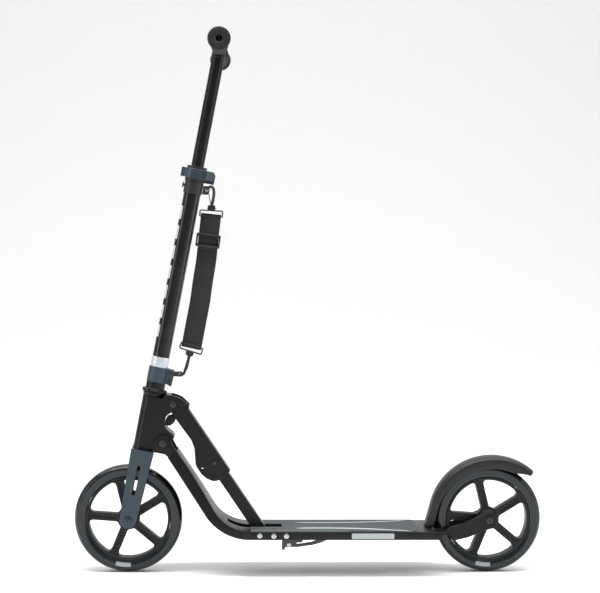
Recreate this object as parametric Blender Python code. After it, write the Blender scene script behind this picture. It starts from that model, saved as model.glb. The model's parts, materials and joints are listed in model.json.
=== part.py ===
"""Folding kick scooter with 205 mm wheels, modelled as the separate pieces it is built from.

Metres, +Z up. The scooter points along -X, the ground is Z = 0, and the origin is on the
ground midway between the two axles. Near side means -Y, which is the rider's left.
"""

from math import asin, atan2, cos, hypot, pi, radians, sin

import bmesh
import bpy
from mathutils import Matrix, Vector

# ---- driving dimensions -------------------------------------------------------------------

GAP = 0.0003  # between touching pieces

WHEEL_RADIUS = 0.1025
TYRE_WIDTH = 0.030
TYRE_SEAT_RADIUS = 0.0800
RIM_INNER_RADIUS = 0.0755
RIM_WIDTH = 0.026
SPOKE_COUNT = 5
SPOKE_WIDTH = 0.015
SPOKE_DEPTH = 0.018
SPOKE_PHASE = radians(32)
HUB_RADIUS = 0.019
WINDOW_CORNER = 0.010
WINDOW_STEPS = 4
HUB_WIDTH = 0.040
WHEELBASE = 0.686
BEARING_RADIUS = 0.011
BEARING_WIDTH = 0.007
AXLE_RADIUS = 0.004
AXLE_HEAD_RADIUS = 0.0072

HEAD_LEAN = radians(10.5)  # steering axis leans back from upright
RAKE = 0.003  # front axle ahead of the steering axis

HEAD_TUBE_LOW = 0.1400
HEAD_TUBE_HIGH = 0.2365
HEAD_TUBE_WALL = 0.0035
BEARING_ROOM = 0.0022  # between steerer and head tube
STEERER_WALL = 0.0018
STEERER_TOP = 0.2960
CASTING_MARGIN = 0.0020  # the casting past the head tube, each side
CHEEK_GAP = 0.0310  # between the casting's cheeks, where the strut goes

FORK_TOP = 0.1335
FORK_CROWN_TOP = 0.1270
FORK_CROWN_LOW = 0.1120
FORK_LEG_THICKNESS = 0.0070
HUB_ROOM = 0.0015  # between the hub and each leg or arm
CROWN_ROOM = 0.0095  # between the tyre and the fork crown
FORK_TIP_RADIUS = 0.0160

COLUMN_RADIUS = 0.0160
COLUMN_WALL = 0.0014
CLAMP_WALL = 0.0028
SLEEVE_WALL = 0.0018
QUICK_WALL = 0.0030  # over the column's own radius
COLUMN_LOW = 0.2645
COLUMN_HIGH = 0.6480
CLAMP_LOW = 0.2640
CLAMP_HIGH = 0.2925
BAND_LOW = 0.2930
BAND_HIGH = 0.3126
SLEEVE_LOW = 0.6265
SLEEVE_HIGH = 0.6485
QUICK_LOW = 0.6490
QUICK_HIGH = 0.6780

BAR_TUBE_RADIUS = 0.0120
BAR_TUBE_WALL = 0.0016
BAR_TUBE_LOW = 0.5050
BAR_HEIGHT = 0.9010  # crossbar above the foot of the steering axis, along it
BAR_WIDTH = 0.3760
CROSSBAR_RADIUS = 0.0110
GRIP_RADIUS = 0.0160
GRIP_LENGTH = 0.1240
GRIP_FLANGE_RADIUS = 0.0207
GRIP_FLANGE_WIDTH = 0.0060
GRIP_END = 0.0020  # the grip's closed end past the crossbar

DECK_LOW = 0.0710
DECK_THICKNESS = 0.0155
DECK_WIDTH = 0.1200
DECK_WALL = 0.0030
DECK_RIB = 0.0175  # from the middle to the centre of each rib
DECK_TYRE_OVERLAP = 0.0015  # how far the notched end reaches past the tyre's front
DECK_REAR_SLANT = 0.0150
DECK_BEND_RADIUS = 0.0990
NECK_SLOPE = radians(56.3)
NECK_THICKNESS = 0.0210
NECK_WIDTH = 0.0640
TAPE_THICKNESS = 0.0007
SLOT_WIDTH = 0.0280
SLOT_AHEAD = 0.0450  # from the deck's bend to each end of the strut slot
SLOT_BEHIND = 0.0630

FOLD_IN_HEAD = (0.03467, 0.15481)  # behind the steering axis, and along it
STRUT_IN_HEAD = (0.03903, 0.23006)
FOLD_PAST_NECK = 0.0270  # fold axis from the neck's tip: along it, and above its underside
FOLD_ABOVE_NECK = 0.0071
STRUT_FOOT_BEHIND = 0.0203  # behind the deck's bend
STRUT_FOOT_RISE = 0.00095  # above the middle of the deck
FOLD_BOLT_RADIUS = 0.0040
EAR_RADIUS = 0.0150
EAR_THICKNESS = 0.0085
STRUT_BOLT_RADIUS = 0.0030

STRUT_TUBE_WIDTH = 0.0250
STRUT_TUBE_BACK = 0.0133
STRUT_TUBE_FRONT = -0.0090
STRUT_TUBE_WALL = 0.0020
STRUT_TUBE_SHORT = 0.1128  # the tube ends this far below the upper pivot
STRUT_SLEEVE_LOW = -0.1669  # from the upper pivot
STRUT_SLEEVE_HIGH = -0.0273
STRUT_SLEEVE_BACK = 0.0182
STRUT_SLEEVE_WALL = 0.0022
STRUT_EYE_RADIUS = 0.0125

TIE_BOLT_BEHIND = (0.0466, 0.0703)  # behind the deck's bend
TIE_BOLT_RISE = 0.00025
TIE_BOLT_RADIUS = 0.0025

ARM_THICKNESS = 0.0060
ARM_BOSS_RADIUS = 0.0150
NOTCH_MARGIN = 0.0002

FENDER_OFFSET = (0.0080, -0.0010)  # its centre from the rear axle
FENDER_ROOM = 0.0195  # between the tyre and the outside of the crown
FENDER_SIDE_ROOM = 0.0070
FENDER_WALL = 0.0022
FENDER_SKIRT = 0.0240
FENDER_TAIL = radians(49.8)
FENDER_SHOULDER = radians(165)
FENDER_FOOT_SKIRT = 0.0150
FENDER_STEPS = 14
FENDER_LIFT = 0.0020
FENDER_HINGE_INSET = 0.00872  # behind the outside of the foot
FENDER_HINGE_RISE = 0.0097  # above the deck
FENDER_PIN_RADIUS = 0.0020

KICK_BEHIND = 0.0760  # behind the deck's bend
KICK_DROP = 0.0130  # below the deck
KICK_LENGTH = 0.0780
KICK_PIN_RADIUS = 0.0025

STRAP_WIDTH = 0.0380
STRAP_THICKNESS = 0.0040
HOOK_RADIUS = 0.0018

SEGMENTS = 24
BOLT_SEGMENTS = 12
WHEEL_SEGMENTS = 32

# ---- materials ----------------------------------------------------------------------------


def material(name, colour, roughness, metallic=0.0):
    made = bpy.data.materials.new(name)
    made.use_nodes = True
    shader = made.node_tree.nodes["Principled BSDF"]
    shader.inputs["Base Color"].default_value = (*colour, 1.0)
    shader.inputs["Roughness"].default_value = roughness
    shader.inputs["Metallic"].default_value = metallic
    made.diffuse_color = (*colour, 1.0)
    return made


for old in list(bpy.data.objects):
    bpy.data.objects.remove(old, do_unlink=True)

BLACK_PAINT = material("black_paint", (0.016, 0.016, 0.017), 0.45, 0.3)
SLATE_PAINT = material("slate_paint", (0.052, 0.072, 0.085), 0.50, 0.3)
BLACK_PLASTIC = material("black_plastic", (0.014, 0.014, 0.015), 0.50)
FENDER_PLASTIC = material("fender_plastic", (0.030, 0.030, 0.032), 0.55)
TYRE_RUBBER = material("tyre_polyurethane", (0.007, 0.009, 0.010), 0.22)
RIM_PLASTIC = material("rim_plastic", (0.020, 0.020, 0.022), 0.42)
GRIP_RUBBER = material("grip_rubber", (0.012, 0.012, 0.013), 0.70)
BLACK_STEEL = material("black_steel", (0.020, 0.020, 0.021), 0.35, 0.8)
BRIGHT_STEEL = material("bright_steel", (0.62, 0.62, 0.60), 0.30, 0.9)
GRIP_TAPE = material("deck_grip_tape", (0.075, 0.085, 0.088), 0.90)
REFLECTOR = material("reflector", (0.42, 0.47, 0.48), 0.25)
REFLECTIVE = material("reflective_band", (0.60, 0.64, 0.68), 0.35)
WEBBING = material("strap_webbing", (0.010, 0.010, 0.011), 0.85)
BUMPER_RUBBER = material("bumper_rubber", (0.016, 0.016, 0.016), 0.75)

# ---- modelling tools ----------------------------------------------------------------------


def arc(cx, cy, radius, start, end, steps):
    """Points along an arc, both ends included, with angles in radians."""
    turns = [start + (end - start) * i / steps for i in range(steps + 1)]
    return [(cx + radius * cos(t), cy + radius * sin(t)) for t in turns]


def rounded(corners, radius, steps=3):
    """A closed outline with each corner replaced by an arc of this radius where it fits."""
    out = []
    for i, corner in enumerate(corners):
        here = Vector(corner)
        before = Vector(corners[i - 1]) - here
        after = Vector(corners[(i + 1) % len(corners)]) - here
        half = before.angle(after) / 2
        reach = min(radius / max(abs(sin(half) / cos(half)), 1e-6), before.length / 2.2, after.length / 2.2)
        start = here + before.normalized() * reach
        end = here + after.normalized() * reach
        for k in range(steps + 1):
            t = k / steps
            out.append(tuple(start * (1 - t) ** 2 + here * 2 * t * (1 - t) + end * t**2))
    return out


def prism(outline, low, high, axis="Y"):
    """A flat outline pushed along an axis: (x, z) along Y, or (x, y) along Z."""
    bm = bmesh.new()
    place = {"Y": lambda a, b: (a, low, b), "Z": lambda a, b: (a, b, low)}[axis]
    face = bm.faces.new([bm.verts.new(place(a, b)) for a, b in outline])
    grown = bmesh.ops.extrude_face_region(bm, geom=[face])
    new = [item for item in grown["geom"] if isinstance(item, bmesh.types.BMVert)]
    push = {"Y": (0, high - low, 0), "Z": (0, 0, high - low)}[axis]
    bmesh.ops.translate(bm, vec=push, verts=new)
    bmesh.ops.recalc_face_normals(bm, faces=bm.faces)
    return bm


def turned(profile, axis="Z", segments=SEGMENTS, centre=(0, 0, 0), flats=False, hollow=True):
    """A profile of (radius, along) spun about an axis. With flats, each facet touches the circle."""
    bm = bmesh.new()
    grow = 1 / cos(pi / segments) if flats else 1.0
    points = [bm.verts.new((radius * grow, 0, along)) for radius, along in profile]
    edges = [bm.edges.new(pair) for pair in zip(points, points[1:])]
    if hollow:
        edges.append(bm.edges.new((points[-1], points[0])))
    bmesh.ops.rotate(bm, cent=(0, 0, 0), matrix=Matrix.Rotation(pi / segments, 3, "Z"), verts=points)
    bmesh.ops.spin(bm, geom=points + edges, axis=(0, 0, 1), cent=(0, 0, 0), steps=segments,
                   angle=2 * pi, use_merge=True)
    bmesh.ops.remove_doubles(bm, verts=bm.verts, dist=1e-6)
    turn = {"X": Matrix.Rotation(pi / 2, 3, "Y"), "Y": Matrix.Rotation(pi / 2, 3, "X"),
            "Z": Matrix.Identity(3)}[axis]
    bmesh.ops.rotate(bm, cent=(0, 0, 0), matrix=turn, verts=bm.verts)
    bmesh.ops.translate(bm, vec=centre, verts=bm.verts)
    bmesh.ops.recalc_face_normals(bm, faces=bm.faces)
    return bm


def rod(radius, low, high, axis="Z", centre=(0, 0, 0), segments=BOLT_SEGMENTS):
    """A solid round bar from low to high along an axis."""
    ends = (-high, -low) if axis == "Y" else (low, high)
    return turned([(0, ends[0]), (radius, ends[0]), (radius, ends[1]), (0, ends[1])], axis,
                  segments, centre, hollow=False)


def pipe(outer, inner, low, high, axis="Z", centre=(0, 0, 0), segments=SEGMENTS):
    """A round tube from low to high along an axis."""
    ends = (-high, -low) if axis == "Y" else (low, high)
    return turned([(inner, ends[0]), (outer, ends[0]), (outer, ends[1]), (inner, ends[1])], axis,
                  segments, centre)


def headed_bolt(radius, head_radius, head, near, far, centre, segments=BOLT_SEGMENTS, far_head=False):
    """A bolt along Y: its head stands out beyond near, its shank ends at far."""
    profile = [(0, near - head), (head_radius, near - head), (head_radius, near), (radius, near), (radius, far)]
    if far_head:
        profile += [(head_radius, far), (head_radius, far + head), (0, far + head)]
    else:
        profile.append((0, far))
    profile = [(r, -along) for r, along in profile]
    return turned(profile, "Y", segments, centre, hollow=False)


def box(low, high):
    (x0, y0, z0), (x1, y1, z1) = low, high
    return prism([(x0, z0), (x1, z0), (x1, z1), (x0, z1)], y0, y1)


def swept(sections):
    """Rings of points joined one to the next. Each section is a list of loops, outer loop first."""
    bm = bmesh.new()
    rings = [[[bm.verts.new(point) for point in loop] for loop in section] for section in sections]
    for first, second in zip(rings, rings[1:]):
        for one, two in zip(first, second):
            for i in range(len(one)):
                j = (i + 1) % len(one)
                bm.faces.new((one[i], one[j], two[j], two[i]))
    for section in (rings[0], rings[-1]):
        if len(section) == 1:
            bm.faces.new(section[0])
            continue
        pairs = [(loop[i - 1], loop[i]) for loop in section for i in range(len(loop))]
        edges = [bm.edges.get(pair) for pair in pairs]
        bmesh.ops.triangle_fill(bm, edges=edges, use_beauty=True)
    bmesh.ops.recalc_face_normals(bm, faces=bm.faces)
    return bm


def empty(name, place, lean=0.0, parent=None):
    made = bpy.data.objects.new(name, None)
    bpy.context.collection.objects.link(made)
    made.empty_display_size = 0.02
    made.location = place
    made.rotation_euler = (0, lean, 0)
    made.parent = parent
    return made


def piece(name, bm, finish, parent=None, smooth=40):
    """Turns a bmesh into a named object with its own finish."""
    mesh = bpy.data.meshes.new(name)
    bm.to_mesh(mesh)
    bm.free()
    if finish:
        mesh.materials.append(finish)
        mesh.shade_smooth()
        mesh.set_sharp_from_angle(angle=radians(smooth))
    made = bpy.data.objects.new(name, mesh)
    bpy.context.collection.objects.link(made)
    made.parent = parent
    return made


def helper(name, bm, parent=None):
    made = piece(name, bm, None, parent)
    made.hide_render = True
    made.display_type = "WIRE"
    return made


def combine(target, kind, bm):
    """Joins a shape to a piece or cuts it from one, in the piece's own frame."""
    number = len(target.modifiers)
    tool = helper(f"{target.name}_{kind.lower()}_{number}", bm, target.parent)
    step = target.modifiers.new(f"{kind.lower()}_{number}", "BOOLEAN")
    step.operation = kind
    step.object = tool


def cut(target, bm):
    combine(target, "DIFFERENCE", bm)


def join(target, bm):
    combine(target, "UNION", bm)


# ---- frames and joint axes ----------------------------------------------------------------

AXLE_HEIGHT = WHEEL_RADIUS
FRONT_AXLE = (-WHEELBASE / 2, AXLE_HEIGHT)
REAR_AXLE = (WHEELBASE / 2, AXLE_HEIGHT)
head_lift = WHEEL_RADIUS + CROWN_ROOM - FORK_CROWN_LOW  # carries the fork crown clear of the tyre
STEER_FOOT = (FRONT_AXLE[0] + RAKE + head_lift * sin(HEAD_LEAN), AXLE_HEIGHT + head_lift * cos(HEAD_LEAN))

STEERER_RADIUS = COLUMN_RADIUS - COLUMN_WALL - GAP
HEAD_BORE_RADIUS = STEERER_RADIUS + BEARING_ROOM
HEAD_TUBE_RADIUS = HEAD_BORE_RADIUS + HEAD_TUBE_WALL
CASTING_WIDTH = 2 * (HEAD_TUBE_RADIUS + CASTING_MARGIN)
CLAMP_RADIUS = COLUMN_RADIUS + CLAMP_WALL
SLEEVE_RADIUS = COLUMN_RADIUS + SLEEVE_WALL
QUICK_RADIUS = COLUMN_RADIUS + QUICK_WALL
LOWER_CUP_RADIUS = HEAD_TUBE_RADIUS + 0.0010
ARM_GAP = HUB_WIDTH + 2 * HUB_ROOM
FORK_GAP = max(ARM_GAP, 2 * LOWER_CUP_RADIUS + 0.0010)


def from_head(behind, along):
    """A side-view place from its place in the head's leaning frame."""
    x = STEER_FOOT[0] + behind * cos(HEAD_LEAN) + along * sin(HEAD_LEAN)
    return x, STEER_FOOT[1] - behind * sin(HEAD_LEAN) + along * cos(HEAD_LEAN)


FOLD_AXIS = from_head(*FOLD_IN_HEAD)
STRUT_TOP = from_head(*STRUT_IN_HEAD)
tip_x = FOLD_AXIS[0] + FOLD_PAST_NECK * cos(NECK_SLOPE) - FOLD_ABOVE_NECK * sin(NECK_SLOPE)
tip_z = FOLD_AXIS[1] - FOLD_PAST_NECK * sin(NECK_SLOPE) - FOLD_ABOVE_NECK * cos(NECK_SLOPE)
NECK_LENGTH = (tip_z - DECK_LOW - DECK_BEND_RADIUS * (1 - cos(NECK_SLOPE))) / sin(NECK_SLOPE)
DECK_BEND_X = tip_x + DECK_BEND_RADIUS * sin(NECK_SLOPE) + NECK_LENGTH * cos(NECK_SLOPE)
DECK_REAR = REAR_AXLE[0] - WHEEL_RADIUS + DECK_TYRE_OVERLAP
SLOT_FRONT = DECK_BEND_X - SLOT_AHEAD
SLOT_REAR = DECK_BEND_X + SLOT_BEHIND
deck_top = DECK_LOW + DECK_THICKNESS
deck_middle = DECK_LOW + DECK_THICKNESS / 2
STRUT_FOOT = (DECK_BEND_X + STRUT_FOOT_BEHIND, deck_middle + STRUT_FOOT_RISE)
FENDER_CENTRE = (REAR_AXLE[0] + FENDER_OFFSET[0], REAR_AXLE[1] + FENDER_OFFSET[1])
FENDER_RADIUS = WHEEL_RADIUS + FENDER_ROOM
FENDER_WIDTH = TYRE_WIDTH + 2 * FENDER_SIDE_ROOM
foot_slope = sin(FENDER_SHOULDER) / -cos(FENDER_SHOULDER)
foot_drop = FENDER_CENTRE[1] + FENDER_RADIUS * sin(FENDER_SHOULDER) - deck_top - FENDER_HINGE_RISE
foot_x = FENDER_CENTRE[0] + FENDER_RADIUS * cos(FENDER_SHOULDER) - foot_drop * foot_slope
FENDER_HINGE = (foot_x + FENDER_HINGE_INSET, deck_top + FENDER_HINGE_RISE)
KICK_PIVOT = (DECK_BEND_X + KICK_BEHIND, DECK_LOW - KICK_DROP)

fold_axis = empty("fold_axis", (FOLD_AXIS[0], 0, FOLD_AXIS[1]))
head_frame = empty("head_frame", (STEER_FOOT[0] - FOLD_AXIS[0], 0, STEER_FOOT[1] - FOLD_AXIS[1]), HEAD_LEAN,
                   fold_axis)
steering_axis = empty("steering_axis", (0, 0, 0), 0.0, head_frame)
front_axle = empty("front_axle", (FRONT_AXLE[0], 0, FRONT_AXLE[1]))
rear_axle = empty("rear_axle", (REAR_AXLE[0], 0, REAR_AXLE[1]))
strut_run = hypot(STRUT_TOP[0] - STRUT_FOOT[0], STRUT_TOP[1] - STRUT_FOOT[1])
strut_lean = atan2(STRUT_TOP[0] - STRUT_FOOT[0], STRUT_TOP[1] - STRUT_FOOT[1])
strut_axis = empty("strut_axis", (STRUT_FOOT[0], 0, STRUT_FOOT[1]), strut_lean)
strut_top_axis = empty("strut_top_axis", (STRUT_IN_HEAD[0], 0, STRUT_IN_HEAD[1]), strut_lean - HEAD_LEAN,
                       head_frame)
kick_axis = empty("kickstand_axis", (KICK_PIVOT[0], 0, KICK_PIVOT[1]))
fender_axis = empty("fender_axis", (FENDER_HINGE[0], 0, FENDER_HINGE[1]))


def in_head(x, z):
    """A side-view point as (behind, along) in the head's leaning frame."""
    dx, dz = x - STEER_FOOT[0], z - STEER_FOOT[1]
    return dx * cos(HEAD_LEAN) - dz * sin(HEAD_LEAN), dx * sin(HEAD_LEAN) + dz * cos(HEAD_LEAN)


axle_in_head = in_head(*FRONT_AXLE)

# ---- wheels -------------------------------------------------------------------------------


def tyre_profile():
    half = TYRE_WIDTH / 2
    seat = TYRE_SEAT_RADIUS + GAP
    side = [(seat, half * 0.84), (seat + 0.006, half * 0.97), (seat + 0.0125, half)]
    crown = [(WHEEL_RADIUS - 0.0035, half * 0.84), (WHEEL_RADIUS - 0.0008, half * 0.52),
             (WHEEL_RADIUS, half * 0.26)]
    near = side + crown
    return near + [(r, -y) for r, y in reversed(near)]


def window_outline(turn):
    """The opening between two spokes, whose sides are parallel to the spokes."""
    step = 2 * pi / SPOKE_COUNT
    half = SPOKE_WIDTH / 2
    outer = RIM_INNER_RADIUS
    inner = HUB_RADIUS + 0.002
    from_angle = turn + asin(half / outer)
    to_angle = turn + step - asin(half / outer)
    low_from = turn + asin(half / inner)
    low_to = turn + step - asin(half / inner)
    rim_side = arc(0, 0, outer, from_angle, to_angle, WINDOW_STEPS)
    hub_side = arc(0, 0, inner, low_to, low_from, 2)
    start, end = Vector(rim_side[0]), Vector(rim_side[-1])
    outward = Vector((cos(turn), sin(turn)))
    outward_next = Vector((cos(turn + step), sin(turn + step)))
    first = [start - outward * WINDOW_CORNER,
             start.lerp(Vector(rim_side[1]), 0.25) - outward * WINDOW_CORNER * 0.35]
    last = [end.lerp(Vector(rim_side[-2]), 0.25) - outward_next * WINDOW_CORNER * 0.35,
            end - outward_next * WINDOW_CORNER]
    return [tuple(p) for p in first] + rim_side[1:-1] + [tuple(p) for p in last] + hub_side


def rim_profile():
    half, web, hub = RIM_WIDTH / 2, SPOKE_DEPTH / 2, HUB_WIDTH / 2
    bore = BEARING_RADIUS + GAP
    near = [(bore, hub), (bore + 0.0035, hub), (HUB_RADIUS, web), (RIM_INNER_RADIUS - 0.003, web),
            (RIM_INNER_RADIUS, half), (TYRE_SEAT_RADIUS, half)]
    return near + [(r, -y) for r, y in reversed(near)]


def wheel(side, axle):
    piece(f"{side}_tyre", turned(tyre_profile(), "Y", WHEEL_SEGMENTS, flats=True), TYRE_RUBBER, axle)
    rim = piece(f"{side}_rim", turned(rim_profile(), "Y", WHEEL_SEGMENTS), RIM_PLASTIC, axle)
    for k in range(SPOKE_COUNT):
        turn = SPOKE_PHASE + 2 * pi * k / SPOKE_COUNT
        cut(rim, prism(window_outline(turn), -RIM_WIDTH, RIM_WIDTH))
    outer = HUB_WIDTH / 2
    for name, low in (("left", -outer), ("right", outer - BEARING_WIDTH)):
        race = pipe(BEARING_RADIUS, AXLE_RADIUS + GAP, low, low + BEARING_WIDTH, "Y", segments=16)
        piece(f"{side}_bearing_{name}", race, BRIGHT_STEEL, axle)


wheel("front", front_axle)
wheel("rear", rear_axle)

# ---- deck, neck and what is bolted to them ------------------------------------------------


def deck_station(distance):
    """Point, direction and upward normal of the deck's underside, measured forward from its rear."""
    flat = DECK_REAR - DECK_BEND_X
    bend = DECK_BEND_RADIUS * NECK_SLOPE
    if distance <= flat:
        return (DECK_REAR - distance, DECK_LOW), 0.0
    if distance <= flat + bend:
        turn = (distance - flat) / DECK_BEND_RADIUS
        return (DECK_BEND_X - DECK_BEND_RADIUS * sin(turn), DECK_LOW + DECK_BEND_RADIUS * (1 - cos(turn))), turn
    over = distance - flat - bend
    x = DECK_BEND_X - DECK_BEND_RADIUS * sin(NECK_SLOPE) - over * cos(NECK_SLOPE)
    z = DECK_LOW + DECK_BEND_RADIUS * (1 - cos(NECK_SLOPE)) + over * sin(NECK_SLOPE)
    return (x, z), NECK_SLOPE


DECK_FLAT = DECK_REAR - DECK_BEND_X
DECK_BEND = DECK_BEND_RADIUS * NECK_SLOPE
DECK_RUN = DECK_FLAT + DECK_BEND + NECK_LENGTH


def neck_share(distance):
    """0 on the flat deck, 1 at the top of the neck, eased in between."""
    t = min(max((distance - DECK_FLAT) / (DECK_RUN - DECK_FLAT), 0.0), 1.0)
    return t * t * (3 - 2 * t) * 0.4 + t * 0.6


def deck_height(distance):
    return DECK_THICKNESS + (NECK_THICKNESS - DECK_THICKNESS) * min(neck_share(distance) * 1.5, 1.0)


def deck_half(distance):
    return (DECK_WIDTH + (NECK_WIDTH - DECK_WIDTH) * neck_share(distance)) / 2


def on_deck(distance, side, height, slant=0.0):
    (x, z), turn = deck_station(distance)
    return (x + height * sin(turn) + slant * height, side, z + height * cos(turn))


def loop_on_deck(distance, outline, slant=0.0):
    return [on_deck(distance, side, height, slant) for side, height in outline]


def rectangle(low_side, high_side, low, high):
    return [(low_side, low), (high_side, low), (high_side, high), (low_side, high)]


def deck_section(distance, slant=0.0):
    half, high, wall, edge = deck_half(distance), deck_height(distance), DECK_WALL, 0.002
    outer = [(-half, edge), (-half + edge, 0), (half - edge, 0), (half, edge),
             (half, high - edge), (half - edge, high), (-half + edge, high), (-half, high - edge)]
    rib_in, rib_out = DECK_RIB - wall / 2, DECK_RIB + wall / 2
    low, top = wall * 0.8, high - wall
    voids = [rectangle(-rib_in, rib_in, low, top), rectangle(rib_out, half - wall, low, top),
             rectangle(wall - half, -rib_out, low, top)]
    return [loop_on_deck(distance, loop, slant) for loop in [outer] + voids]


def deck_frame():
    slant = DECK_REAR_SLANT / DECK_THICKNESS
    bend_steps = 6
    stops = [DECK_FLAT - 0.02] + [DECK_FLAT + DECK_BEND * i / bend_steps for i in range(bend_steps + 1)]
    stops += [DECK_FLAT + DECK_BEND + NECK_LENGTH * i / 2 for i in (1, 2)]
    sections = [deck_section(0.0, slant)] + [deck_section(stop) for stop in stops]
    return swept(sections)


def ear_outline():
    """Side view of the lug at the neck's tip, round about the fold axis."""
    along = Vector((-cos(NECK_SLOPE), sin(NECK_SLOPE)))
    up = Vector((sin(NECK_SLOPE), cos(NECK_SLOPE)))
    pivot = Vector(FOLD_AXIS)
    (x, z), _ = deck_station(DECK_RUN)
    tip = Vector((x, z))
    reach = 0.030
    facing = atan2(up.y, up.x)
    nose = arc(pivot.x, pivot.y, EAR_RADIUS, facing, facing + pi, 8)
    low_edge = 0.0012
    high_edge = NECK_THICKNESS - 0.0012
    foot = [tuple(tip - along * reach + up * low_edge), tuple(tip - along * reach + up * high_edge)]
    past_tip = tip + along * 0.0008
    return foot + [tuple(past_tip + up * high_edge)] + nose + [tuple(past_tip + up * low_edge)]


deck = piece("deck", deck_frame(), BLACK_PAINT, smooth=30)
ear_inner = CASTING_WIDTH / 2 + GAP
for side in (-1, 1):
    faces = sorted((side * ear_inner, side * (ear_inner + EAR_THICKNESS)))
    join(deck, prism(ear_outline(), faces[0], faces[1]))

slot_stops = [DECK_REAR - SLOT_REAR + (SLOT_REAR - SLOT_FRONT) * 1.03 * i / 6 for i in range(7)]
slot_sections = []
for stop in slot_stops:
    high = deck_height(stop)
    ring = rectangle(-SLOT_WIDTH / 2, SLOT_WIDTH / 2, high - DECK_WALL - 0.001, high + 0.004)
    slot_sections.append([loop_on_deck(stop, ring)])
cut(deck, swept(slot_sections))
notch_half = ARM_GAP / 2 - NOTCH_MARGIN
cut(deck, box((DECK_REAR - 0.0065, -notch_half, DECK_LOW - 0.01),
              (DECK_REAR + 0.05, notch_half, DECK_LOW + 0.04)))
cross_bolts = [STRUT_FOOT] + [(DECK_BEND_X + behind, deck_middle + TIE_BOLT_RISE) for behind in TIE_BOLT_BEHIND]
for x, z in cross_bolts:
    cut(deck, rod(TIE_BOLT_RADIUS + GAP, -DECK_WIDTH, DECK_WIDTH, "Y", (x, 0, z)))
cut(deck, rod(FOLD_BOLT_RADIUS + GAP, -DECK_WIDTH, DECK_WIDTH, "Y", (FOLD_AXIS[0], 0, FOLD_AXIS[1])))

tape_half = DECK_WIDTH / 2 - 0.003
tape_front = DECK_BEND_X + 0.003
tape_rear = FENDER_HINGE[0] - 0.0270
notch = SLOT_WIDTH / 2 + 0.0005
tape_plan = [(tape_front, -tape_half), (tape_rear, -tape_half), (tape_rear, tape_half), (tape_front, tape_half),
             (tape_front, notch), (SLOT_REAR + 0.001, notch), (SLOT_REAR + 0.001, -notch), (tape_front, -notch)]
tape_low = deck_top + GAP
piece("grip_tape", prism(tape_plan, tape_low, tape_low + TAPE_THICKNESS, "Z"), GRIP_TAPE)

deck_half_width = DECK_WIDTH / 2
bolt_names = ("strut_pivot_bolt", "tie_bolt_front", "tie_bolt_rear")
for name, (x, z) in zip(bolt_names, cross_bolts):
    face = deck_half_width + GAP
    through_bolt = headed_bolt(TIE_BOLT_RADIUS, 0.0052, 0.0022, -face, face, (x, 0, z), far_head=True)
    piece(name, through_bolt, BRIGHT_STEEL)

fold_bolt_face = ear_inner + EAR_THICKNESS + GAP
piece("fold_bolt", headed_bolt(FOLD_BOLT_RADIUS, 0.0070, 0.0040, -fold_bolt_face, fold_bolt_face - 0.001,
                               (FOLD_AXIS[0], 0, FOLD_AXIS[1])), BLACK_STEEL)

reflector_low, reflector_high = DECK_LOW + 0.0025, deck_top - 0.0025
reflector_front, reflector_rear = DECK_BEND_X + 0.1930, DECK_BEND_X + 0.2730
for name, side in (("left", -1), ("right", 1)):
    faces = sorted((side * (deck_half_width + GAP), side * (deck_half_width + GAP + 0.0012)))
    plate = box((reflector_front, faces[0], reflector_low), (reflector_rear, faces[1], reflector_high))
    piece(f"reflector_{name}", plate, REFLECTOR)

# ---- rear arms and axle -------------------------------------------------------------------

def from_axle(points):
    """Side-view places from their places about the rear axle."""
    return [(REAR_AXLE[0] + x, REAR_AXLE[1] + z) for x, z in points]


arm_low, arm_high = DECK_LOW + 0.0032, deck_top - 0.0037  # a slide fit in the deck's hollow
arm_outline = [(DECK_REAR - 0.0470, arm_low), (DECK_REAR - 0.0470, arm_high), (DECK_REAR + 0.0140, arm_high)]
arm_outline += from_axle([(-0.0730, -0.0135), (-0.0530, -0.0075)])
arm_outline += arc(REAR_AXLE[0], REAR_AXLE[1], ARM_BOSS_RADIUS, radians(122), radians(-75), 10)
arm_outline += from_axle([(-0.0180, -0.0235), (-0.0400, -0.0330), (-0.0640, -0.0385)])
arm_outline.append((DECK_REAR + 0.0240, arm_low))
for name, side in (("left", -1), ("right", 1)):
    faces = sorted((side * ARM_GAP / 2, side * (ARM_GAP / 2 + ARM_THICKNESS)))
    arm = piece(f"dropout_{name}", prism(arm_outline, faces[0], faces[1]), BLACK_PAINT)
    cut(arm, rod(AXLE_RADIUS + GAP, -0.05, 0.05, "Y", (REAR_AXLE[0], 0, REAR_AXLE[1])))

arm_face = ARM_GAP / 2 + ARM_THICKNESS + GAP
piece("rear_axle_bolt", headed_bolt(AXLE_RADIUS, AXLE_HEAD_RADIUS, 0.004, -arm_face, arm_face - 0.001,
                                    (REAR_AXLE[0], 0, REAR_AXLE[1])), BLACK_STEEL)

# ---- fender and foot brake ----------------------------------------------------------------


def fender_section(depth):
    """Half-round crown with side skirts, as (side, inward) points, outer line first."""
    half, wall = FENDER_WIDTH / 2, FENDER_WALL
    bow = [(half, depth), (half, 0.009), (half * 0.90, 0.0042), (half * 0.68, 0.0014), (half * 0.35, 0.0003)]
    outer = bow + [(-y, d) for y, d in reversed(bow)]
    inner_half = half - wall
    curve = [(inner_half, depth), (inner_half, 0.0098), (inner_half * 0.88, 0.0064),
             (inner_half * 0.64, 0.0038), (inner_half * 0.33, 0.0026)]
    inner = [(-y, d) for y, d in curve] + list(reversed(curve))
    return outer + inner


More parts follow.
